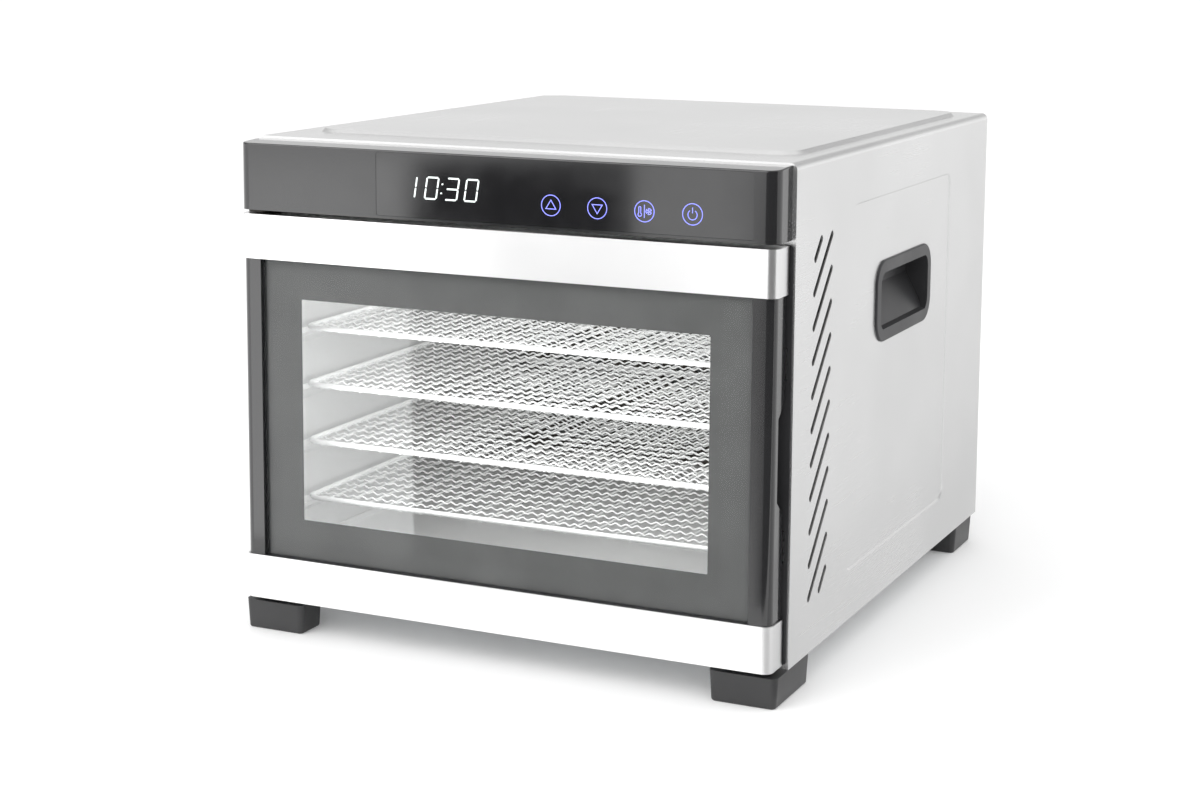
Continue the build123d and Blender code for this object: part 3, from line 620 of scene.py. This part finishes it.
class Tree(Nodes):
    """Geometry node tree with named inputs, and the few steps that all trees share."""

    def __init__(self, name: str, **inputs: str) -> None:
        """Start a tree.

        Args:
            name: Name of the tree.
            **inputs: Comma-separated labels of its inputs, for each kind of socket.
        """
        self.tree = bpy.data.node_groups.new(name, "GeometryNodeTree")
        sockets = self.tree.interface
        sockets.new_socket("Geometry", in_out="INPUT", socket_type="NodeSocketGeometry")
        for kind, labels in inputs.items():
            for label in labels.split(", "):
                sockets.new_socket(label, in_out="INPUT", socket_type=f"NodeSocket{kind}")
        sockets.new_socket("Geometry", in_out="OUTPUT", socket_type="NodeSocketGeometry")
        self.entry = self.node("NodeGroupInput")
        self.exit = self.node("NodeGroupOutput")

    def __getitem__(self, label: str) -> Any:
        """Socket of a named input."""
        return self.entry.outputs[label]

    def vector(self, x: Any = 0.0, y: Any = 0.0, z: Any = 0.0) -> Any:
        """Vector socket from three sockets or constants."""
        return self.node("ShaderNodeCombineXYZ", X=x, Y=y, Z=z).outputs[0]

    def joined(self, *parts: Any) -> Any:
        """All parts in one geometry."""
        made = self.node("GeometryNodeJoinGeometry")
        for part in reversed(parts):
            self.link(part, made.inputs[0])
        return made.outputs[0]

    def rounded(self, width: Any, height: Any, steps: int) -> Any:
        """Rectangle about the origin, with its corners rounded in steps by the Corner Radius."""
        made = self.node("GeometryNodeCurvePrimitiveQuadrilateral", Width=width, Height=height)
        corner = self["Corner Radius"]
        return self.node(
            "GeometryNodeFilletCurve", {"mode": "POLY"}, Curve=made.outputs[0], Count=steps, Radius=corner
        ).outputs[0]

    def line(self, start: Any, end: Any) -> Any:
        """Straight line between two points."""
        return self.node("GeometryNodeCurvePrimitiveLine", Start=start, End=end).outputs[0]

    def row(self, shape: Any, count: Any, start: Any, step: Any) -> Any:
        """Copies of a shape in a row from a start, each a step further."""
        points = self.node(
            "GeometryNodeMeshLine", {"mode": "OFFSET"}, Count=count, Start_Location=start, Offset=step
        ).outputs[0]
        return self.node("GeometryNodeInstanceOnPoints", Points=points, Instance=shape).outputs[0]

    def tube(self, curve: Any, radius: Any, sides: int, caps: bool = True) -> Any:
        """Round bar along a curve."""
        ring = self.node("GeometryNodeCurvePrimitiveCircle", Resolution=sides, Radius=radius)
        made = self.node(
            "GeometryNodeCurveToMesh", Curve=curve, Profile_Curve=ring.outputs["Curve"], Fill_Caps=caps
        )
        return made.outputs["Mesh"]

    def finish(self, geometry: Any) -> None:
        """End the tree with smooth, real meshes in the finish that is passed in."""
        real = self.node("GeometryNodeRealizeInstances", Geometry=geometry).outputs[0]
        smooth = self.node("GeometryNodeSetShadeSmooth", Geometry=real, Shade_Smooth=True).outputs[0]
        coloured = self.node("GeometryNodeSetMaterial", Geometry=smooth, Material=self["Finish"])
        self.link(coloured.outputs[0], self.exit.inputs[0])

    def build(self, name: str, values: dict[str, Any]) -> bpy.types.Object:
        """Run the tree once and keep its result as a plain mesh.

        Args:
            name: Name of the piece.
            values: Value of each named input.

        Returns:
            The new object, at the origin and with no modifier.
        """
        seed = bpy.data.meshes.new(name + "_seed")
        piece = stand(name, seed)
        modifier = piece.modifiers.new("build", "NODES")
        modifier.node_group = self.tree
        for item in self.tree.interface.items_tree:
            if item.in_out == "INPUT" and item.name in values:
                modifier[item.identifier] = values[item.name]
        graph = bpy.context.evaluated_depsgraph_get()
        mesh = bpy.data.meshes.new_from_object(piece.evaluated_get(graph), depsgraph=graph)
        piece.modifiers.remove(modifier)
        piece.data = mesh
        mesh.name = name
        bpy.data.meshes.remove(seed)
        return piece


# ---- sub-assemblies ----


@dataclass
class SubAssembly:
    """Part of the dehydrator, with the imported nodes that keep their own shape."""

    book: FinishBook
    nodes: Names = ()

    def dress(self) -> None:
        """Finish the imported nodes."""
        self.book.dress_nodes(self.nodes)


@dataclass
class Cabinet(SubAssembly):
    """Steel body on four feet, with its handles, front frame and rear housing."""

    nodes: Names = (
        "outer_cover", "base_plate", "rear_panel", "rear_housing", "front_foot_right", "front_foot_left",
        "rear_foot_right", "rear_foot_left", "front_frame", "door_seal", "catch_plates", "handle_cup_right",
        "handle_cup_left", "hinge_brackets", "hinge_pins", "power_inlet", "inlet_contacts",
    )


@dataclass
class DryingChamber(SubAssembly):
    """Liners, floor, roof and fan guard, with the heater and the sensors behind them."""

    nodes: Names = (
        "liner_right", "liner_left", "chamber_roof", "chamber_floor", "rear_baffle", "spacers",
        "heater_element", "heater_clips", "thermal_cutout", "temperature_probe",
    )


@dataclass
class Door(SubAssembly):
    """Glass door between two steel caps, with its rails, frame and hinge bushes."""

    nodes: Names = (
        "door_top_bar", "door_bottom_bar", "door_rail_right", "door_rail_left", "door_glass", "glass_border",
        "door_frame", "door_magnets", "hinge_bushes",
    )


@dataclass
class Fasteners(SubAssembly):
    """Pan head screws with a cross recess."""

    nodes: Names = ("fasteners_foot", "fasteners_rear", "fasteners_inside", "fasteners_door")


@dataclass
class TraySet(SubAssembly):
    """Wire trays: a round rod bent into a rectangle, crimped cross wires and thin long wires."""

    count: int = 5
    rod_radius: float = 1.6 * MM
    wire_radius: float = 0.55 * MM
    corner_radius: float = 8.0 * MM
    across_pitch: float = 13.8 * MM
    along_pitch: float = 12.5 * MM
    waves_per_pitch: int = 2
    wave_height: float = 0.75 * MM
    long_wire_drop: float = 1.35 * MM
    samples_per_wave: int = 6

    def tree(self) -> Tree:
        """Tree that welds one tray together."""
        tree = Tree(
            "crimped_wire_tray",
            Float="Half Width, Front, Back, Level, Corner Radius, Rod Radius, Wire Radius, Across Pitch, "
                  "Along Pitch, Wave Length, Wave Height, Long Wire Drop",
            Int="Across Count, Along Count, Wave Points",
            Material="Finish",
        )
        tree.finish(tree.joined(self.rod(tree), self.cross_wires(tree), self.long_wires(tree)))
        return tree

    def rod(self, tree: Tree) -> Any:
        """Round rod along the tray's edge."""
        front, back = tree["Front"], tree["Back"]
        width = tree.math("MULTIPLY", tree["Half Width"], 2.0)
        bent = tree.rounded(width, tree.math("SUBTRACT", back, front), 7)
        middle = tree.math("MULTIPLY", tree.math("ADD", front, back), 0.5)
        offset = tree.vector(0.0, middle, tree["Level"])
        placed = tree.node("GeometryNodeSetPosition", Geometry=bent, Offset=offset)
        return tree.tube(placed.outputs[0], tree["Rod Radius"], 14, caps=False)

    def cross_wires(self, tree: Tree) -> Any:
        """Crimped wires from side to side, from one end of the tray to the other."""
        half, pitch = tree["Half Width"], tree["Along Pitch"]
        line = tree.line(tree.vector(tree.math("MULTIPLY", half, -1.0)), tree.vector(half))
        fine = tree.node("GeometryNodeResampleCurve", Curve=line, Count=tree["Wave Points"]).outputs[0]
        where = tree.node("ShaderNodeSeparateXYZ", Vector=tree.node("GeometryNodeInputPosition").outputs[0])
        waves = tree.math("DIVIDE", where.outputs["X"], tree["Wave Length"])
        swing = tree.math("COSINE", tree.math("MULTIPLY", waves, math.tau))
        lift = tree.vector(0.0, 0.0, tree.math("MULTIPLY", swing, tree["Wave Height"]))
        waved = tree.node("GeometryNodeSetPosition", Geometry=fine, Offset=lift).outputs[0]
        wire = tree.tube(waved, tree["Wire Radius"], 5)
        start = tree.vector(0.0, tree.math("ADD", tree["Front"], pitch), tree["Level"])
        return tree.row(wire, tree["Along Count"], start, tree.vector(0.0, pitch))

    def long_wires(self, tree: Tree) -> Any:
        """Straight wires from front to back, welded under the rod with their ends showing."""
        reach = tree.math("MULTIPLY", tree["Rod Radius"], 0.7)
        start = tree.vector(0.0, tree.math("SUBTRACT", tree["Front"], reach))
        end = tree.vector(0.0, tree.math("ADD", tree["Back"], reach))
        wire = tree.tube(tree.line(start, end), tree["Wire Radius"], 8)
        pitch, count = tree["Across Pitch"], tree["Across Count"]
        span = tree.math("MULTIPLY", pitch, tree.math("SUBTRACT", count, 1.0))
        level = tree.math("SUBTRACT", tree["Level"], tree["Long Wire Drop"])
        first = tree.vector(tree.math("MULTIPLY", span, -0.5), 0.0, level)
        return tree.row(wire, count, first, tree.vector(pitch))

    def build(self) -> None:
        """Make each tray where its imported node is, and let it stand for that node."""
        tree = self.tree()
        wave = self.across_pitch / self.waves_per_pitch
        sizes = {
            name.replace("_", " ").title(): size
            for name, size in vars(self).items() if isinstance(size, float)
        }
        for number in range(1, self.count + 1):
            low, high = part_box(f"tray_{number}")
            half = high.x - self.rod_radius
            front, back = low.y + self.rod_radius, high.y - self.rod_radius
            piece = tree.build(f"wire_tray_{number}", {
                **sizes, "Half Width": half, "Front": front, "Back": back, "Level": (low.z + high.z) / 2,
                "Across Count": 2 * int(half / self.across_pitch) + 1,
                "Along Count": int((back - front) / self.along_pitch), "Wave Length": wave,
                "Wave Points": int(2 * half / wave * self.samples_per_wave) + 1,
                "Finish": self.book.material("tray_wire"),
            })
            self.book.dress_piece(piece, "tray_wire", f"tray_{number}_body")
            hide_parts(f"tray_{number}")


# ---- fan and motor ----


@dataclass
class FanUnit(SubAssembly):
    """Impeller, shaft and shaded-pole motor, with the winding made turn by turn."""

    copper_wire: float = 0.9 * MM
    layers: int = 4
    coil_corner: float = 5.0 * MM
    nodes: Names = (
        "impeller", "impeller_nut", "fan_shaft", "motor_rotor", "motor_core", "motor_brackets",
        "motor_bearings",
    )

    def tree(self) -> Tree:
        """Tree that stacks one layer of turns round the motor's leg."""
        tree = Tree(
            "wound_layer", Float="Width, Length, Corner Radius, Wire Radius", Int="Turns", Vector="Start",
            Material="Finish",
        )
        loop = tree.rounded(tree["Width"], tree["Length"], 4)
        turn = tree.tube(loop, tree["Wire Radius"], 8, caps=False)
        pitch = tree.math("MULTIPLY", tree["Wire Radius"], 2.0)
        tree.finish(tree.row(turn, tree["Turns"], tree["Start"], tree.vector(0.0, 0.0, pitch)))
        return tree

    def winding(self) -> bpy.types.Object:
        """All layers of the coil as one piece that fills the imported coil's box."""
        low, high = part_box("motor_coil")
        middle, size = (low + high) / 2, high - low
        tree = self.tree()
        turns = int(size.z / self.copper_wire)
        first = middle.z - (turns - 1) * self.copper_wire / 2
        shape = bmesh.new()
        for layer in range(self.layers):
            inset = (layer + 0.5) * self.copper_wire
            part = tree.build(f"coil_layer_{layer}", {
                "Width": size.x - 2 * inset, "Length": size.y - 2 * inset,
                "Corner Radius": self.coil_corner - inset, "Wire Radius": self.copper_wire / 2,
                "Turns": turns, "Start": (middle.x, middle.y, first),
                "Finish": self.book.material("copper_winding"),
            })
            mesh = part.data
            shape.from_mesh(mesh)
            bpy.data.objects.remove(part)
            bpy.data.meshes.remove(mesh)
        return mesh_piece("copper_winding", shape)

    def build(self) -> None:
        """Make the winding and finish the fan's nodes."""
        coil = self.winding()
        self.book.dress_piece(coil, "copper_winding", "cabinet")
        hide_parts("motor_coil")
        self.dress()


# ---- control panel ----


@dataclass
class ControlPanel(SubAssembly):
    """Glossy panel with its lit time and its four touch marks."""

    digit_height: float = 13.2 * MM
    digit_width: float = 8.4 * MM
    segment: float = 0.95 * MM
    segment_gap: float = 0.25 * MM
    slant: float = math.radians(9.0)
    lift: float = 0.12 * MM
    mark_radius: float = 6.0 * MM
    mark_line: float = 0.42 * MM
    mark_first: float = 36.0 * MM
    mark_pitch: float = 28.35 * MM
    mark_rise: float = 12.0 * MM
    time_rise: float = 17.5 * MM
    digit_places: dict[str, tuple[float, str]] = field(default_factory=lambda: {
        "tens_of_hours": (-53.6 * MM, "bc"), "hours": (-39.5 * MM, "abcdef"),
        "tens_of_minutes": (-26.3 * MM, "abcdg"), "minutes": (-13.9 * MM, "abcdef"),
    })
    colon_place: float = -33.0 * MM
    colon_rise: float = 2.6 * MM
    dot_length: float = 0.2 * MM
    nodes: Names = (
        "control_housing", "display_glass", "control_board", "display_module", "touch_pads", "power_board",
    )

    def face(self) -> tuple[float, float]:
        """Y of a lit mark's front and back, just proud of the display glass."""
        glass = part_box("display_glass")[0].y
        return glass - self.lift, glass + self.lift

    def level(self, rise: float) -> float:
        """Height of something above the display glass's lower edge."""
        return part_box("display_glass")[0].z + rise

    def bar(self, shape: bmesh.types.BMesh, start: Flat, end: Flat) -> None:
        """Add one round-ended segment between two points of an upright digit, leaned over.

        Args:
            shape: Bmesh that takes the segment.
            start: First end (X, Z) of its middle line.
            end: Other end.
        """
        radius = self.segment / 2
        along = math.degrees(math.atan2(end[1] - start[1], end[0] - start[0]))
        outline = arc(end, radius, along - 90, along + 90, 6) + arc(start, radius, along + 90, along + 270, 6)
        lean = math.tan(self.slant)
        leaned = [(x + (z - self.level(self.time_rise)) * lean, z) for x, z in outline]
        add_prism(shape, leaned, *self.face())

    def digit(self, name: str, centre: float, lit: str) -> bpy.types.Object:
        """One seven-segment digit.

        Args:
            name: Name of the piece.
            centre: X of the digit's middle.
            lit: Letters a to g of the lit segments.

        Returns:
            The digit.
        """
        across = (self.digit_width - self.segment) / 2
        up = (self.digit_height - self.segment) / 2
        inset = self.segment / 2 + self.segment_gap
        left, right, base = centre - across, centre + across, self.level(self.time_rise)
        segments = {
            "a": ((left + inset, base + up), (right - inset, base + up)),
            "b": ((right, base + inset), (right, base + up - inset)),
            "c": ((right, base - up + inset), (right, base - inset)),
            "d": ((left + inset, base - up), (right - inset, base - up)),
            "e": ((left, base - up + inset), (left, base - inset)),
            "f": ((left, base + inset), (left, base + up - inset)),
            "g": ((left + inset, base), (right - inset, base)),
        }
        shape = bmesh.new()
        for letter in lit:
            self.bar(shape, *segments[letter])
        return mesh_piece(name, shape, smooth=False)

    def colon(self) -> bpy.types.Object:
        """The two dots between hours and minutes."""
        shape = bmesh.new()
        for rise in (-self.colon_rise, self.colon_rise):
            level = self.level(self.time_rise) + rise
            self.bar(shape, (self.colon_place, level), (self.colon_place + self.dot_length, level))
        return mesh_piece("display_colon", shape, smooth=False)

    def mark_lines(self) -> dict[str, list[tuple[list[Flat], bool]]]:
        """Middle lines of each touch mark about its own centre, and whether each is closed."""
        wide, high = 3.1 * MM, 2.6 * MM
        up = [(-wide, -high * 0.75), (wide, -high * 0.75), (0.0, high * 1.15)]
        down = [(-x, -z) for x, z in up]
        tube, reach = -2.75 * MM, 1.9 * MM
        bulb = arc((tube, -reach), 1.05 * MM, 125, 415, 10)
        top = arc((tube, reach), 0.6 * MM, 20, 160, 5)
        stem = [(tube + 0.6 * MM, reach), *top, (tube - 0.6 * MM, reach)]
        divider = [(0.0, -3.6 * MM), (0.0, 3.6 * MM)]
        hub = (2.6 * MM, 0.0)
        fan = [([*arc(hub, 1.65 * MM, turn, turn + 75, 5), hub], True) for turn in (20, 140, 260)]
        power = arc((0.0, -0.3 * MM), 2.7 * MM, 125, 415, 22)
        return {
            "touch_mark_up": [(up, True)],
            "touch_mark_down": [(down, True)],
            "touch_mark_mode": [(bulb + stem, True), (divider, False), *fan],
            "touch_mark_power": [(power, False), ([(0.0, 0.6 * MM), (0.0, 3.7 * MM)], False)],
        }

    def mark(self, name: str, centre: float, lines: list[tuple[list[Flat], bool]]) -> bpy.types.Object:
        """One touch mark: a ring round a small line drawing.

        Args:
            name: Name of the piece.
            centre: X of the ring's middle.
            lines: Middle lines about the ring's middle, and whether each is closed.

        Returns:
            The mark.
        """
        shape = bmesh.new()
        ring = arc((0.0, 0.0), self.mark_radius - self.mark_line / 2, 0, 352.5, 47)
        for line, closed in [(ring, True), *lines]:
            placed = [(x + centre, z + self.level(self.mark_rise)) for x, z in line]
            add_stroke(shape, placed, self.mark_line, *self.face(), closed=closed)
        return mesh_piece(name, shape, smooth=False)

    def build(self) -> None:
        """Make the lit time and marks, and finish the panel's nodes."""
        for name, (centre, lit) in self.digit_places.items():
            self.book.dress_piece(self.digit(f"display_{name}", centre, lit), "display_light", "cabinet")
        self.book.dress_piece(self.colon(), "display_light", "cabinet")
        for step, (name, lines) in enumerate(self.mark_lines().items()):
            piece = self.mark(name, self.mark_first + step * self.mark_pitch, lines)
            self.book.dress_piece(piece, "touch_light", "cabinet")
        self.dress()


# ---- studio ----


class Sky(Nodes):
    """World of the studio, lit by how high a ray looks."""

    def __init__(self) -> None:
        """Start a world with nothing in it."""
        world = bpy.data.worlds.new("studio")
        bpy.context.scene.world = world
        world.use_nodes = True
        self.tree = world.node_tree
        self.tree.nodes.remove(self.tree.nodes["Background"])
        direction = self.node("ShaderNodeTexCoord").outputs["Generated"]
        self.height = self.node("ShaderNodeSeparateXYZ", Vector=direction).outputs["Z"]

    def dome(self, greys: dict[float, float]) -> Any:
        """Background that changes with the sine of a ray's elevation.

        Args:
            greys: Grey at each sine, from the horizon (0) to straight up (1).

        Returns:
            Output socket of the background.
        """
        ramp = self.node("ShaderNodeValToRGB", Fac=self.height)
        stops = ramp.color_ramp.elements
        for stop, end in zip(stops, (0.0, 1.0)):
            stop.color = (greys[end], greys[end], greys[end], 1.0)
        for position, grey in greys.items():
            if 0.0 < position < 1.0:
                stops.new(position).color = (grey, grey, grey, 1.0)
        return self.node("ShaderNodeBackground", Color=ramp.outputs["Color"]).outputs["Background"]


@dataclass
class Studio:
    """Pale floor, soft lights and the camera."""

    eye: Point = (0.5789, -1.3270, 0.4219)
    yaw: float = 24.945
    pitch: float = 8.104
    roll: float = 0.367
    lens: float = 66.96
    shift: float = -0.125
    floor_reach: float = 30.0
    floor_glow: float = 0.1
    room_greys: dict[float, float] = field(default_factory=lambda: {0.0: 0.4, 0.35: 1.02, 1.0: 1.3})
    mirror_greys: dict[float, float] = field(default_factory=lambda: {
        0.0: 1.0, 0.12: 0.95, 0.23: 0.7, 0.3: 0.4, 0.6: 0.55, 1.0: 0.9,
    })
    card_height: float = 4.0 * MM
    card_top: float = 2.2
    card_steps: Point = (0.15, 1.25, 3.4)
    card_edges: tuple[float, ...] = (-0.19, -0.057, 0.138, 0.159)
    card_lean: Flat = (-0.040, 0.085)

    def camera(self) -> None:
        """Camera at the viewing angle of the reference."""
        data = bpy.data.cameras.new("camera")
        data.lens, data.sensor_width, data.shift_y = self.lens, 36.0, self.shift
        camera = stand("camera", data)
        turn = (
            Matrix.Rotation(math.radians(self.yaw), 4, "Z")
            @ Matrix.Rotation(math.radians(90 - self.pitch), 4, "X")
            @ Matrix.Rotation(math.radians(self.roll), 4, "Z")
        )
        camera.matrix_world = Matrix.Translation(self.eye) @ turn
        bpy.context.scene.camera = camera

    def floor(self) -> None:
        """Wide pale floor."""
        shape = bmesh.new()
        bmesh.ops.create_grid(shape, x_segments=8, y_segments=8, size=self.floor_reach)
        floor = mesh_piece("floor", shape)
        recipe = Recipe(
            "pale_floor", Roughness=0.6, Specular_IOR_Level=0.2, Emission_Color=(1.0,) * 4,
            Emission_Strength=self.floor_glow,
        )
        recipe.tint(recipe.noise(2.0), (0.86,) * 3, (0.88,) * 3)
        floor.data.materials.append(recipe.material)

    def lamp(
        self, name: str, place: Point, target: Point, size: Flat, power: float, shown: bool = True,
    ) -> None:
        """Soft rectangular lamp.

        Args:
            name: Name of the lamp.
            place: Where it hangs.
            target: Point that it faces.
            size: Width and height.
            power: Watts.
            shown: Whether shiny surfaces mirror it.
        """
        data = bpy.data.lights.new(name, "AREA")
        data.shape, data.size, data.size_y, data.energy = "RECTANGLE", *size, power
        lamp = stand(name, data)
        aim = (Vector(target) - Vector(place)).to_track_quat("-Z", "Y")
        lamp.matrix_world = Matrix.Translation(place) @ aim.to_matrix().to_4x4()
        lamp.visible_camera = False
        lamp.visible_glossy = shown

    def card(self, name: str, corners: Sequence[Point], light: float) -> None:
        """Flat card that only mirrors see: a black flag, or a lit panel.

        Args:
            name: Name of the card.
            corners: Corners in order.
            light: Light that it gives off, none for a flag.
        """
        shape = bmesh.new()
        shape.faces.new([shape.verts.new(corner) for corner in corners])
        card = mesh_piece(name, shape)
        recipe = Recipe(
            name, Base_Color=(0.01, 0.01, 0.01, 1.0), Roughness=1.0, Specular_IOR_Level=0.0,
            Emission_Color=(1.0,) * 4, Emission_Strength=light,
        )
        card.data.materials.append(recipe.material)
        for kind in ("camera", "diffuse", "transmission", "volume_scatter", "shadow"):
            setattr(card, f"visible_{kind}", False)

    def bounce(self, across: float, steps: float) -> Flat:
        """Place on the floor that a point of the door's front mirrors towards the camera.

        Args:
            across: X of the point.
            steps: How far beyond the door, in camera distances.

        Returns:
            X and Y on the floor.
        """
        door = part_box("door_top_bar")[0].y
        eye_x, eye_y, _ = self.eye
        return across + steps * (across - eye_x), door + steps * (eye_y - door)

    def floor_card(self, name: str, lefts: Flat, rights: Flat, steps: Flat, light: float) -> None:
        """Card on the floor under the reflections between two places of the door's front.

        Args:
            name: Name of the card.
            lefts: X of the left edge near the door, and far from it.
            rights: X of the right edge near the door, and far from it.
            steps: Nearest and furthest reach.
            light: Light that it gives off.
        """
        near, far = steps
        flats = (self.bounce(lefts[0], near), self.bounce(rights[0], near),
                 self.bounce(rights[1], far), self.bounce(lefts[1], far))
        self.card(name, [(x, y, self.card_height) for x, y in flats], light)

    def wall(self, name: str, start: Flat, end: Flat, low: float, light: float) -> None:
        """Upright card above the line between two places on the floor.

        Args:
            name: Name of the card.
            start: One end (X, Y).
            end: Other end.
            low: Height of its lower edge.
            light: Light that it gives off.
        """
        top = self.card_top
        self.card(name, ((*start, low), (*end, low), (*end, top), (*start, top)), light)

    def cards(self) -> None:
        """Lit panels and black flags in front, and a grey bounce at the right, for the glossy faces."""
        near, middle, far = self.card_steps
        start, dark, strip, end = self.card_edges
        dark_far, strip_far = self.card_lean
        self.floor_card("lit_floor", (start, start), (dark, dark), (near, far), 2.3)
        self.floor_card("near_flag", (dark, dark), (strip, strip), (near, middle), 0.05)
        self.floor_card("far_flag", (dark, dark_far), (strip_far, strip_far), (middle, far), 0.05)
        self.floor_card("near_strip", (strip, strip), (end, end), (near, middle), 1.5)
        self.floor_card("far_strip", (strip_far, strip_far), (end + MM, end + MM), (middle, far), 1.8)
        low, side = self.card_height, 3.0
        corner, beyond = (self.bounce(end + 2 * MM, step) for step in (near, far))
        flag = ((*corner, low), (side, corner[1], low), (side, beyond[1], low), (*beyond, low))
        self.card("corner_flag", flag, 0.12)
        self.wall("softbox", (-2.6, -1.6), (-0.40, -2.75), 0.05, 1.65)
        self.wall("side_flag", (-0.12, -2.5), (2.6, -0.65), low, 0.1)
        front, back = -0.3, 5.0
        for start, end, light in ((0.178, 0.27, 0.66), (0.27, 0.5, 0.78), (0.5, back, 0.85)):
            sides = ((start, front), (end, front), (end, back), (start, back))
            self.card(f"bounce_{int(start / MM)}", [(x, y, low) for x, y in sides], light)

    def world(self) -> None:
        """White room, dimmer along the horizon, that shiny faces see as greyer overhead."""
        sky = Sky()
        ray = sky.node("ShaderNodeLightPath").outputs["Is Glossy Ray"]
        mix = sky.mixed(ray, sky.dome(self.room_greys), sky.dome(self.mirror_greys))
        sky.link(mix, sky.tree.nodes["World Output"].inputs["Surface"])

    def build(self) -> None:
        """Set the whole stage."""
        bpy.context.scene.view_settings.view_transform = "Standard"
        self.camera()
        self.floor()
        self.world()
        self.cards()
        self.lamp("key", (-1.2, -2.1, 2.1), (0.0, 0.0, 0.1), (1.8, 1.4), 24.0)
        self.lamp("front_fill", (0.2, -2.6, 1.3), (0.0, 0.0, 0.15), (2.2, 1.2), 14.0)
        self.lamp("right_fill", (2.1, 0.6, 2.0), (0.1, 0.0, 0.2), (1.4, 1.4), 6.0)
        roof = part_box("chamber_roof")[0]
        under = roof.z - 4.0 * MM
        middle = (roof.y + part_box("rear_baffle")[0].y) / 2
        self.lamp("chamber_light", (0.0, middle, under), (0.0, middle, 0.0), (0.27, 0.24), 0.3)
        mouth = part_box("glass_border")[1].y + 2.0 * MM
        level = (roof.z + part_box("chamber_floor")[1].z) / 2
        self.lamp("mouth_light", (0.0, mouth, level), (0.0, 0.0, level), (0.26, 0.13), 0.22, shown=False)


# ---- the whole dehydrator ----


def main() -> None:
    """Load the frame and build every sub-assembly round it."""
    logging.basicConfig(level=logging.INFO, format="%(name)s: %(message)s")
    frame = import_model()
    book = FinishBook(frame)
    Studio().build()
    Cabinet(book).dress()
    DryingChamber(book).dress()
    TraySet(book).build()
    FanUnit(book).build()
    ControlPanel(book).build()
    Door(book).dress()
    Fasteners(book).dress()


if __name__ == "__main__":
    main()
